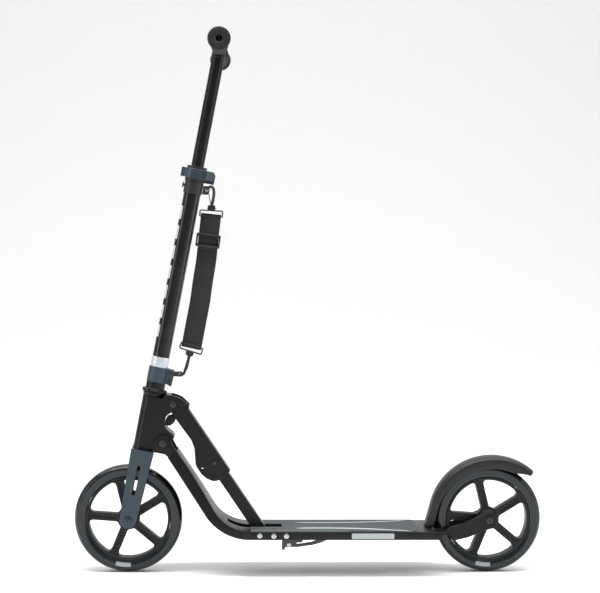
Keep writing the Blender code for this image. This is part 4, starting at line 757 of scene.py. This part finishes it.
prism_lens = Finish("reflector_lens", roughness=0.16, coat=0.7, coat_roughness=0.05)
lens_here = prism_lens.place()
lens_x, _, lens_z = prism_lens.parts(lens_here)
PRISM_TURN = 2 * pi / 0.0030
prisms = ((lens_x * PRISM_TURN).math("SINE") * (lens_z * PRISM_TURN).math("SINE")).ramp(-0.6, 0.8)
prism_lens.feed(colour=prism_lens.shade(prisms, (0.26, 0.29, 0.30), (0.60, 0.64, 0.65)),
                roughness=0.12 + prisms * 0.15)
prism_lens.relief(prisms, 0.0003, 0.7)
for node in ("reflector_left", "reflector_right"):
    low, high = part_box(node)
    strip = rounded([(low[0], low[2]), (high[0], low[2]), (high[0], high[2]), (low[0], high[2])], 0.0018, 4)
    lens = plate(strip, low[1], high[1], 0.0004, 2)
    finished(f"{node}_lens", lens, prism_lens, "root", [node])

# ---- pieces kept as drawn, with eased edges ----------------------------------------------
# Pressed, cast and moulded pieces whose shape is already exact: each is copied from its solid
# and only its sharp edges are broken, as tumbling or paint would do.


def eased(node, finish, body, width, steps=2):
    """A copy of a solid with its triangles merged into faces and its edges broken."""
    shape = bmesh.new()
    shape.from_mesh(frame["nodes"][node].data)
    bmesh.ops.remove_doubles(shape, verts=shape.verts, dist=1e-6)
    bmesh.ops.dissolve_limit(shape, angle_limit=radians(1.5), verts=shape.verts, edges=shape.edges)
    break_edges(finished(f"{node}_eased", shape, finish, body, [node], 32), width, steps, 30)


# Rear arms: flat steel arms welded inside the deck's open end, black like the deck.
for node in ("dropout_left", "dropout_right"):
    eased(node, satin_black, "root", 0.0008)

# Kickstand: a folded steel bracket under the deck and a flat forged leg with a curled foot.
eased("kickstand_bracket", black_steel, "root", 0.0007)
eased("kickstand_leg", black_steel, "kickstand", 0.0012, 3)
eased("fender_bracket", black_steel, "root", 0.0004)

# Folding strut: a rectangular steel tube that runs in a pressed steel channel; the channel's
# cheeks swell round the latch, with its release hole and rivet hole.
eased("strut_tube", satin_black, "strut_lower", 0.0020, 4)
eased("strut_sleeve", satin_black, "strut_upper", 0.0006)
eased("latch_pin", black_steel, "latch", 0.0005)

# ---- fender -------------------------------------------------------------------------------
# One moulding in tough charcoal nylon over the rear wheel: a soft half-round crown with deep
# side skirts, a turned-up tail, and a fine moulded grain. Pressing it down brakes the wheel.

FENDER_CENTRE = Vector((0.3510, 0, 0.1015))
FENDER_RADIUS = 0.1220
FENDER_HALF = 0.0220
FENDER_WALL = 0.0022
FENDER_TAIL = radians(49.8)
FENDER_SHOULDER = radians(165)
SKIRT_TOP = 0.0094
SKIRT_FOOT = 0.0240
FOOT_ROWS = 6
FOOT_LEVEL = DECK_LOW + DECK_HIGH + 0.0020


def fender_crown():
    """Outer line of the section, as (side, inward) points from skirt to skirt."""
    half = [(FENDER_HALF, SKIRT_FOOT), (FENDER_HALF, 0.0180), (FENDER_HALF, 0.0120), (FENDER_HALF, SKIRT_TOP)]
    turns = [radians(a) for a in range(80, 5, -9)]
    half += [(FENDER_HALF * sin(t), 0.0090 * (1 - cos(t)) ** 1.15) for t in turns]
    return half + [(0.0, 0.0)] + [(-side, inward) for side, inward in reversed(half)]


def fender_shell():
    """The section turned about the wheel, then pulled straight down to its foot on the deck."""
    shape = bmesh.new()
    section = [Vector((FENDER_RADIUS - inward, side, 0)) for side, inward in fender_crown()]
    verts = [shape.verts.new(FENDER_CENTRE + point) for point in section]
    edges = [shape.edges.new(pair) for pair in zip(verts, verts[1:])]
    turn_to_tail = Matrix.Rotation(-FENDER_TAIL, 3, "Y")
    bmesh.ops.rotate(shape, cent=FENDER_CENTRE, matrix=turn_to_tail, verts=verts)
    swept_out = bmesh.ops.spin(shape, geom=verts + edges, axis=(0, -1, 0), cent=FENDER_CENTRE, steps=46,
                               angle=FENDER_SHOULDER - FENDER_TAIL)
    foot_edges = [item for item in swept_out["geom_last"] if isinstance(item, bmesh.types.BMEdge)]
    for vert in shape.verts:
        out = vert.co - FENDER_CENTRE
        turn = atan2(out.z, out.x)
        share = (turn - FENDER_TAIL) / (FENDER_SHOULDER - FENDER_TAIL)
        inward = FENDER_RADIUS - (out.x**2 + out.z**2) ** 0.5
        depth = SKIRT_FOOT * min(0.45 + share * 4, 1.0) - 0.0090 * max(share * 2 - 1, 0)
        if inward > SKIRT_TOP:
            inward = SKIRT_TOP + (inward - SKIRT_TOP) * (depth - SKIRT_TOP) / (SKIRT_FOOT - SKIRT_TOP)
        radius = FENDER_RADIUS - inward
        vert.co = FENDER_CENTRE + Vector((radius * cos(turn), out.y, radius * sin(turn)))
    slope = sin(FENDER_SHOULDER) / -cos(FENDER_SHOULDER)
    for rows_left in range(FOOT_ROWS, 0, -1):
        grown = bmesh.ops.extrude_edge_only(shape, edges=foot_edges)
        foot_edges = [item for item in grown["geom"] if isinstance(item, bmesh.types.BMEdge)]
        for vert in {vert for edge in foot_edges for vert in edge.verts}:
            drop = (vert.co.z - FOOT_LEVEL) / rows_left
            vert.co += Vector((-drop * slope, 0, -drop))
    bmesh.ops.recalc_face_normals(shape, faces=shape.faces)
    crown = max(shape.faces, key=lambda face: face.calc_center_median().z)
    if crown.normal.z < 0:
        bmesh.ops.reverse_faces(shape, faces=shape.faces)
    return shape


charcoal_nylon = moulded_finish("charcoal_nylon", 0.35, (0.009, 0.009, 0.0095), (0.019, 0.019, 0.020),
                                (0.03, 5.0), (0.03, 5.0, 0.32, 0.14), (0.0008, 3.0, 0.00016), 0.7)
fender = finished("fender_moulding", fender_shell(), charcoal_nylon, "fender", ["fender"], 60)
wall = fender.modifiers.new("wall", "SOLIDIFY")
wall.thickness = FENDER_WALL
wall.offset = -1.0
break_edges(fender, 0.0007, 2, 60)

bumper_rubber = moulded_finish("moulded_rubber", 0.3, (0.010, 0.010, 0.010), (0.024, 0.024, 0.024),
                               (0.01, 4.0), (0.01, 4.0, 0.75, 0.0), (0.0006, 2.0, 0.0001), 0.8)
eased("brake_pad", bumper_rubber, "fender", 0.0008)

# ---- head casting -------------------------------------------------------------------------
# The hinge casting: head tube, gusset and two cheeks that hold the strut, cast in one piece
# and coated like the deck, with soft cast edges and a raised boss round each bolt.

STEER_AXIS = joint("steering_hinge")["axis"]
STEER_FOOT = Vector(joint("steering_hinge")["pos_m"])
HEAD_LEAN = atan2(STEER_AXIS[0], STEER_AXIS[2])
HEAD = Matrix.Translation(STEER_FOOT) @ Matrix.Rotation(HEAD_LEAN, 4, "Y")


def in_head(shape):
    """Moves a shape drawn upright about the steering axis into its leaning place."""
    bmesh.ops.transform(shape, matrix=HEAD, verts=shape.verts)
    return shape


eased("head_casting", satin_black, "head", 0.0016, 3)
eased("fold_bumper", bumper_rubber, "head", 0.0015, 3)

# ---- headset ------------------------------------------------------------------------------
# Two pressed cups and a ring nut with wrench notches, all coated black. Heights are measured
# up the steering axis from its foot.


def on_column(profile, steps=72):
    """A profile of (radius, height) turned about the steering axis."""
    return in_head(spun(profile, steps, (0, 0, 0), "Z"))


TUBE_HIGH = 0.2365
upper_cup = [(0.0152, TUBE_HIGH + 0.0003), (0.0192, TUBE_HIGH + 0.0003), (0.0200, TUBE_HIGH + 0.0010),
             (0.0203, TUBE_HIGH + 0.0040), (0.0211, TUBE_HIGH + 0.0050), (0.0212, TUBE_HIGH + 0.0074),
             (0.0206, TUBE_HIGH + 0.0080), (0.0152, TUBE_HIGH + 0.0080)]
finished("upper_cup_ring", on_column(upper_cup), satin_black, "head", ["upper_cup"])
lower_cup = [(0.0152, 0.1276), (0.0190, 0.1276), (0.0198, 0.1282), (0.0203, 0.1310), (0.0210, 0.1326),
             (0.0210, 0.1360), (0.0206, 0.1368), (0.0206, 0.1392), (0.0202, 0.1397), (0.0152, 0.1397)]
finished("lower_cup_ring", on_column(lower_cup), satin_black, "head", ["lower_cup"])
NUT_LOW = TUBE_HIGH + 0.0086
nut = [(0.0146, NUT_LOW), (0.0228, NUT_LOW), (0.0235, NUT_LOW + 0.0007), (0.0235, NUT_LOW + 0.0040),
       (0.0229, NUT_LOW + 0.0047), (0.0188, NUT_LOW + 0.0062), (0.0182, NUT_LOW + 0.0070), (0.0182, 0.2637),
       (0.0146, 0.2637)]
NOTCHES = 8
notch_drawing = rounded([(0.0212, -0.0024), (0.0260, -0.0024), (0.0260, 0.0024), (0.0212, 0.0024)], 0.0008, 2)
notch_cuts = []
for k in range(NOTCHES):
    tooth = plate(notch_drawing, NUT_LOW - 0.001, NUT_LOW + 0.0060, axis="Z")
    notch_cuts.append(("DIFFERENCE", copy_turned(tooth, 2 * pi * (k + 0.5) / NOTCHES, "Z")))
ring_nut = in_head(worked(spun(nut, 72, (0, 0, 0), "Z"), *notch_cuts))
finished("headset_ring_nut", ring_nut, satin_black, "steering", ["headset_nut"])

# ---- fork ---------------------------------------------------------------------------------
# Two flat legs joined by a crown, with an open slot down each leg, painted in a slate
# metallic with a fine sparkle.

slate_metallic = powder_coat("slate_metallic", (0.038, 0.055, 0.066), (0.066, 0.088, 0.102), 0.46, 0.00018,
                             metallic=0.35, flake=0.35)
eased("fork", slate_metallic, "steering", 0.0012, 3)

# ---- column -------------------------------------------------------------------------------
# Drawn aluminium tube, gloss black, with a row of plain pale blocks printed down its front.


def column_finish():
    """Gloss black over a plain printed row on the leading side."""
    paint = Finish("gloss_black_column", roughness=0.3, specular=0.35)
    here = paint.place(tuple(STEER_FOOT), (0, HEAD_LEAN, 0))
    x, y, z = paint.parts(here)
    cloud = paint.grain(here, 0.03, 4.0)
    front = (x * -1.0).ramp(0.0118, 0.0122)
    step = (z / 0.038).math("FRACT")
    block = step.within(0.14, 0.80, 0.01) - step.within(0.40, 0.54, 0.01) * y.ramp(-0.004, -0.0035) * 0.9
    row = block.math("MAXIMUM", 0.0) * z.within(0.350, 0.606, 0.0006) * front
    wear = paint.grain(here, 0.004, 4.0).ramp(0.2, 0.5)
    black = paint.shade(cloud, (0.005, 0.005, 0.0055), (0.014, 0.014, 0.0145))
    paint.feed(colour=paint.shade(row * (0.75 + wear * 0.25), black, (0.55, 0.56, 0.57)),
               roughness=0.20 + cloud * 0.08 + row * 0.15)
    paint.relief(paint.grain(here, 0.0005, 3.0), 0.00005, 0.5)
    return paint


gloss_black = column_finish()
tube = [(0.0146, 0.2645), (0.0157, 0.2645), (0.0160, 0.2648), (0.0160, 0.6477), (0.0157, 0.6480),
        (0.0146, 0.6480)]
button_bore = pin(0.0026, -0.030, 0.0, (0, 0, 0.6400), "X", 32)
drilled_tube = worked(spun(tube, 72, (0, 0, 0), "Z"), ("DIFFERENCE", button_bore))
finished("column_drawn_tube", in_head(drilled_tube), gloss_black, "steering", ["column_tube"])

retro_film = Finish("reflective_film", roughness=0.34, metallic=0.25, specular=0.6)
film_here = retro_film.place(tuple(STEER_FOOT), (0, HEAD_LEAN, 0))
film_x, film_y, film_z = retro_film.parts(film_here)
around = film_y.math("ARCTAN2", film_x)
rising, falling = (around * 26 + film_z * 1400).math("SINE"), (around * 26 - film_z * 1400).math("SINE")
lattice = (rising * falling).ramp(-0.3, 0.9)
seam = film_z.within(0.2996, 0.3000, 0.00025) + film_z.within(0.3058, 0.3062, 0.00025)
retro_film.feed(colour=retro_film.shade(lattice * 0.8 + seam * 0.4, (0.62, 0.65, 0.69), (0.40, 0.43, 0.47)),
                roughness=0.28 + lattice * 0.2)
retro_film.relief(lattice, 0.00008, 0.7)
band = [(0.0163, 0.2930), (0.0168, 0.2930), (0.0169, 0.2933), (0.0169, 0.3123), (0.0168, 0.3126),
        (0.0163, 0.3126)]
finished("reflective_sleeve", on_column(band), retro_film, "steering", ["reflective_band"])

moulded_black = moulded_finish("moulded_black", 0.45, (0.010, 0.010, 0.011), (0.024, 0.024, 0.026),
                               (0.008, 4.0), (0.008, 4.0, 0.42, 0.16), (0.0006, 3.0, 0.00012), 0.8)

eased("clamp_collar", slate_metallic, "steering", 0.0007)
eased("strap_eyelet", slate_metallic, "steering", 0.0008, 3)
eased("strap_ring", black_steel, "steering", 0.0003)
eased("tube_sleeve", moulded_black, "steering", 0.0007)
eased("height_button", moulded_black, "height_button", 0.0005)
eased("quick_collar", moulded_black, "steering", 0.0008)
eased("quick_pin", black_steel, "steering", 0.0003)

slate_lever = powder_coat("slate_lever_coat", (0.034, 0.050, 0.062), (0.060, 0.082, 0.096), 0.34, 0.00012,
                          metallic=0.4, flake=0.2)
eased("quick_lever", slate_lever, "quick_lever", 0.0014, 4)

# ---- handlebar and grips ------------------------------------------------------------------
# A sliding tube with a crossbar welded on top, coated satin black, and two ribbed rubber
# grips whose closed ends have a finger-wide hole.

BAR_HIGH = 0.9010
slider_tube = [(0.0104, 0.5050), (0.0117, 0.5050), (0.0120, 0.5053), (0.0120, BAR_HIGH), (0.0104, BAR_HIGH)]
crossbar = spun([(0.0094, -0.1880), (0.0107, -0.1880), (0.0110, -0.1877), (0.0110, 0.1877), (0.0107, 0.1880),
                 (0.0094, 0.1880)], 56, (0, 0, BAR_HIGH))
weld = [(0.0118 + 0.0021 * sin(turn), BAR_HIGH - 0.0128 + 0.0030 * cos(turn))
        for turn in (pi * k / 8 for k in range(9))]
weld_bead = spun(weld, 48, (0, 0, 0), "Z")
tee = worked(spun(slider_tube, 64, (0, 0, 0), "Z"), ("UNION", crossbar), ("UNION", weld_bead))
finished("handlebar_tee", in_head(tee), satin_black, "handlebar", ["handlebar"], 40)


def grip_finish():
    """Soft rubber with small moulded diamonds between the ribs."""
    rubber = Finish("ribbed_grip_rubber", roughness=0.7, specular=0.35)
    here = rubber.place(tuple(HEAD @ Vector((0, 0, BAR_HIGH))), (0, HEAD_LEAN, 0))
    x, y, z = rubber.parts(here)
    turn = z.math("ARCTAN2", x)
    diamonds = ((turn * 14 + y * 1100).math("SINE") * (turn * 14 - y * 1100).math("SINE")).ramp(0.1, 0.5)
    dust = rubber.grain(here, 0.012, 4.0)
    rubber.feed(colour=rubber.shade(dust, (0.009, 0.009, 0.010), (0.024, 0.024, 0.025)),
                roughness=0.62 + dust * 0.2)
    rubber.relief(diamonds + rubber.grain(here, 0.0006) * 0.4, 0.0003, 0.7)
    return rubber


grip_rubber = grip_finish()
GRIP_START, GRIP_END = 0.0660, 0.1900
for name, side in (("left", -1), ("right", 1)):
    grip = [(0.0113, GRIP_START), (0.0148, GRIP_START), (0.0158, GRIP_START + 0.0010)]
    for k in range(16):
        at = GRIP_START + 0.0060 + k * 0.0068
        grip += [(0.0159, at - 0.0016), (0.0152, at - 0.0008), (0.0152, at + 0.0008), (0.0159, at + 0.0016)]
    grip += [(0.0160, GRIP_END - 0.0078), (0.0166, GRIP_END - 0.0068), (0.0198, GRIP_END - 0.0060),
             (0.0206, GRIP_END - 0.0050), (0.02065, GRIP_END - 0.0022), (0.0202, GRIP_END - 0.0010),
             (0.0188, GRIP_END - 0.0003), (0.0150, GRIP_END), (0.0072, GRIP_END), (0.0062, GRIP_END - 0.0006),
             (0.0060, GRIP_END - 0.0017), (0.0113, GRIP_END - 0.0017)]
    shape = spun([(radius, -side * along) for radius, along in grip], 72, (0, 0, BAR_HIGH))
    node = f"grip_{name}"
    finished(f"{node}_ribbed", in_head(shape), grip_rubber, "handlebar", [node], 40)

# ---- carrying strap -----------------------------------------------------------------------
# Black polyester webbing, 38 mm wide, threaded through two moulded loops and a slider. Its
# lower end is turned back and stitched, and its upper end runs back down to the slider.

STRAP_ROUTE = [(-0.1902, 0.6790), (-0.1918, 0.6630), (-0.1950, 0.6320), (-0.1990, 0.5920), (-0.2050, 0.5530),
               (-0.2100, 0.5150), (-0.2170, 0.4770), (-0.2245, 0.4360), (-0.2262, 0.4275)]
WEB_HALF_WIDTH = 0.0190
WEB_THICK = 0.0013
LAYER = 0.00115


def smooth_line(points, steps):
    """A curve through the points, with this many pieces between each two."""
    points = [Vector(point) for point in points]
    ends = [points[0] * 2 - points[1]] + points + [points[-1] * 2 - points[-2]]
    line = []
    for a, b, c, d in zip(ends, ends[1:], ends[2:], ends[3:]):
        for i in range(steps):
            t = i / steps
            line.append(b + (c - a) * t / 2 + (a - b * 2.5 + c * 2 - d / 2) * t**2
                        + (b * 1.5 - a / 2 - c * 1.5 + d / 2) * t**3)
    return line + [points[-1]]


route = smooth_line(STRAP_ROUTE, 12)


def web_path():
    """(place in side view, direction, sideways offset) along the band, folded at both loops."""
    count = len(route)
    at = lambda i: (route[i], (route[min(i + 1, count - 1)] - route[max(i - 1, 0)]).normalized())
    slider_end, fold_end = 30, count - 12

    def fold(i, side):
        """Half a turn round a loop's bar, past the end of the route, starting on one side."""
        place, way = at(i)
        out = way * LAYER * side
        return [(place + out * sin(pi * k / 8), way, LAYER * side * cos(pi * k / 8)) for k in range(1, 8)]

    path = [(*at(i), -LAYER) for i in range(slider_end, -1, -1)] + fold(0, -1)
    path += [(*at(i), LAYER) for i in range(count)] + fold(count - 1, 1)
    return path + [(*at(i), -LAYER) for i in range(count - 1, fold_end - 1, -1)]


def webbing():
    """The band as one sheet with its length measured along it, and how long it is."""
    path = web_path()
    shape = bmesh.new()
    across = 12
    bmesh.ops.create_grid(shape, x_segments=across, y_segments=len(path) - 1, size=0.5, calc_uvs=True)
    uv = shape.loops.layers.uv.verify()
    run = [0.0]
    for (before, _, side), (after, _, next_side) in zip(path, path[1:]):
        run.append(run[-1] + ((after - before).length_squared + (next_side - side) ** 2) ** 0.5)
    columns = {}
    for vert in shape.verts:
        share, row = vert.co.x + 0.5, round((vert.co.y + 0.5) * (len(path) - 1))
        place, way, side = path[row]
        wide = Vector((-way.y, way.x)) * (share * 2 - 1) * WEB_HALF_WIDTH
        curl = 0.0003 * (abs(share * 2 - 1) ** 6) * (1 if side > 0 else -1)
        ripple = 0.00012 * sin(run[row] * 190 + share * 2)
        vert.co = (place.x + wide.x, side + ripple - curl, place.y + wide.y)
        columns[vert] = (share * WEB_HALF_WIDTH * 2, run[row])
    for face in shape.faces:
        for loop in face.loops:
            loop[uv].uv = columns[loop.vert]
    return shape, run[-1]


def webbing_finish(length):
    """Ribbed tape: chevrons of warp yarn, firmer selvedges, and box stitching at the fold."""
    yarn = Finish("polyester_webbing", roughness=0.8, specular=0.3, sheen=0.3)
    sheet = yarn.node("ShaderNodeUVMap", {"uv_map": "UVMap"})
    u, v, _ = yarn.parts(sheet)
    ribs = (u * (2 * pi / 0.0016)).math("SINE")
    picks = (v * (2 * pi / 0.0011) + ribs.math("SIGN") * 1.3).math("SINE")
    weave = (picks * 0.5 + 0.5) * (0.6 + ribs.math("ABSOLUTE") * 0.4)
    selvedge = (u - WEB_HALF_WIDTH).math("ABSOLUTE").ramp(0.0168, 0.0174)
    rows = v.within(length - 0.0250, length - 0.0240, 0.0002)
    rows = rows + v.within(length - 0.0190, length - 0.0180, 0.0002)
    thread = rows * (u * (2 * pi / 0.0030)).math("SINE").ramp(-0.5, 0.1)
    fluff = yarn.grain(sheet, 0.006, 4.0)
    yarn.feed(colour=yarn.shade(weave * 0.55 + fluff * 0.35 + thread * 0.5, (0.006, 0.006, 0.007),
                                (0.030, 0.030, 0.032)), roughness=0.7 + weave * 0.2)
    yarn.relief(weave - selvedge * 0.3 + thread * 1.5, 0.0003, 0.9)
    return yarn


band_shape, band_length = webbing()
strap = finished("strap_band", band_shape, webbing_finish(band_length), "steering",
                 ["strap_webbing"], 60)
body = strap.modifiers.new("body", "SOLIDIFY")
body.thickness = WEB_THICK
body.offset = 0.0

# ---- strap hardware -----------------------------------------------------------------------
# Acetal loops, snap hooks bent from a thick bar with a flared swivel and a sprung tongue, and a
# slider frame with a passage for the webbing.

satin_acetal = moulded_finish("satin_acetal", 0.5, (0.008, 0.008, 0.009), (0.020, 0.020, 0.021), (0.006, 4.0),
                              (0.006, 4.0, 0.28, 0.14), (0.0005, 3.0, 0.00006), 0.7)

for node in ("upper_strap_loop", "lower_strap_loop"):
    eased(node, satin_acetal, "steering", 0.0011, 3)


def tilted(outline, centre, lean):
    """An outline drawn about a centre in side view, leaning by an angle."""
    along, up = Vector((cos(lean), sin(lean))), Vector((-sin(lean), cos(lean)))
    return [tuple(Vector(centre) + along * a + up * b) for a, b in outline]


def slider_frame():
    """Outer frame with a window through it, and a passage for the webbing behind its bars."""
    centre, lean = (-0.1955, 0.6300), radians(-7)
    outer = rounded(box_outline(0.0230, -0.0130, 0.0130), 0.0035, 5)
    opening = rounded(box_outline(0.0196, -0.0078, 0.0078), 0.0020, 4)
    passage = box_outline(0.0200, -0.0300, 0.0300)
    return worked(plate(tilted(outer, centre, lean), -0.0058, 0.0058, 0.0018, 4),
                  ("DIFFERENCE", plate(tilted(opening, centre, lean), -0.0100, 0.0100)),
                  ("DIFFERENCE", plate(tilted(passage, centre, lean), -0.0021, 0.0021)))


finished("strap_slider_ladder", slider_frame(), satin_acetal, "steering", ["strap_slider"], 40)


def bent_rod(line, radii, sides=14):
    """A round bar along a line, eased from one radius to the other and narrowed at both tips."""
    across = Vector((0, 1, 0))
    last = len(line) - 1
    stations = []
    for i, point in enumerate(line):
        ahead = (line[min(i + 1, last)] - line[max(i - 1, 0)]).normalized()
        across = (across - ahead * across.dot(ahead)).normalized()
        radius = (radii[0] + (radii[1] - radii[0]) * i / last) * (0.55 if i in (0, last) else 1.0)
        turn = Matrix((ahead, across, ahead.cross(across))).transposed().to_4x4()
        stations.append(Matrix.Translation(point) @ turn @ Matrix.Scale(radius, 4))
    return swept([(cos(t), sin(t)) for t in (2 * pi * k / sides for k in range(sides))], stations)


def swivel(foot, way):
    """A flared skirt where the hook turns in its loop, along this direction."""
    skirt = spun([(0, 0), (0.0078, 0), (0.0082, 0.0008), (0.0080, 0.0024), (0.0058, 0.0040), (0.0042, 0.0052),
                  (0.0038, 0.0078), (0, 0.0082)], 32, (0, 0, 0), "Z", closed=False)
    bmesh.ops.scale(skirt, vec=(1.0, 0.52, 1.0), verts=skirt.verts)
    turn = Vector((0, 0, 1)).rotation_difference(Vector(way)).to_matrix()
    bmesh.ops.rotate(skirt, cent=(0, 0, 0), matrix=turn, verts=skirt.verts)
    bmesh.ops.translate(skirt, vec=foot, verts=skirt.verts)
    return skirt


def snap_hook(node, points, tongue, foot, way):
    """The hook and its swivel as one moulding, and the thin steel tongue that shuts its mouth."""
    moulding = worked(bent_rod(smooth_line(points, 6), (0.0030, 0.0024)), ("UNION", swivel(foot, way)))
    finished(f"{node}_moulding", moulding, satin_acetal, "steering", [node], 60)
    spring = bent_rod(smooth_line(tongue, 6), (0.0009, 0.0007), 10)
    finished(f"{node}_tongue", spring, black_steel, "steering", [], 60)


snap_hook("upper_snap_hook",
          [(-0.1895, 0.0, 0.6935), (-0.1868, -0.0010, 0.7060), (-0.1850, -0.0035, 0.7180),
           (-0.1860, -0.0055, 0.7275), (-0.1900, -0.0066, 0.7316), (-0.1945, -0.0068, 0.7300),
           (-0.1975, -0.0054, 0.7266), (-0.1979, 0.0, 0.7262), (-0.1979, 0.0045, 0.7262)],
          [(-0.1903, -0.0004, 0.6950), (-0.1930, -0.0020, 0.7100), (-0.1955, -0.0045, 0.7235)],
          (-0.1895, 0, 0.6895), (-sin(radians(-3)), 0, cos(radians(-3))))
snap_hook("lower_snap_hook",
          [(-0.2287, 0.0, 0.4150), (-0.2330, -0.0010, 0.3990), (-0.2362, -0.0030, 0.3880),
           (-0.2395, -0.0045, 0.3790), (-0.2440, -0.0040, 0.3755), (-0.2462, 0.0, 0.3762),
           (-0.2450, 0.0040, 0.3775)],
          [(-0.2278, -0.0004, 0.4140), (-0.2310, -0.0015, 0.3960), (-0.2340, -0.0030, 0.3850)],
          (-0.2286, 0, 0.4180), (sin(radians(-17)), 0, -cos(radians(-17))))
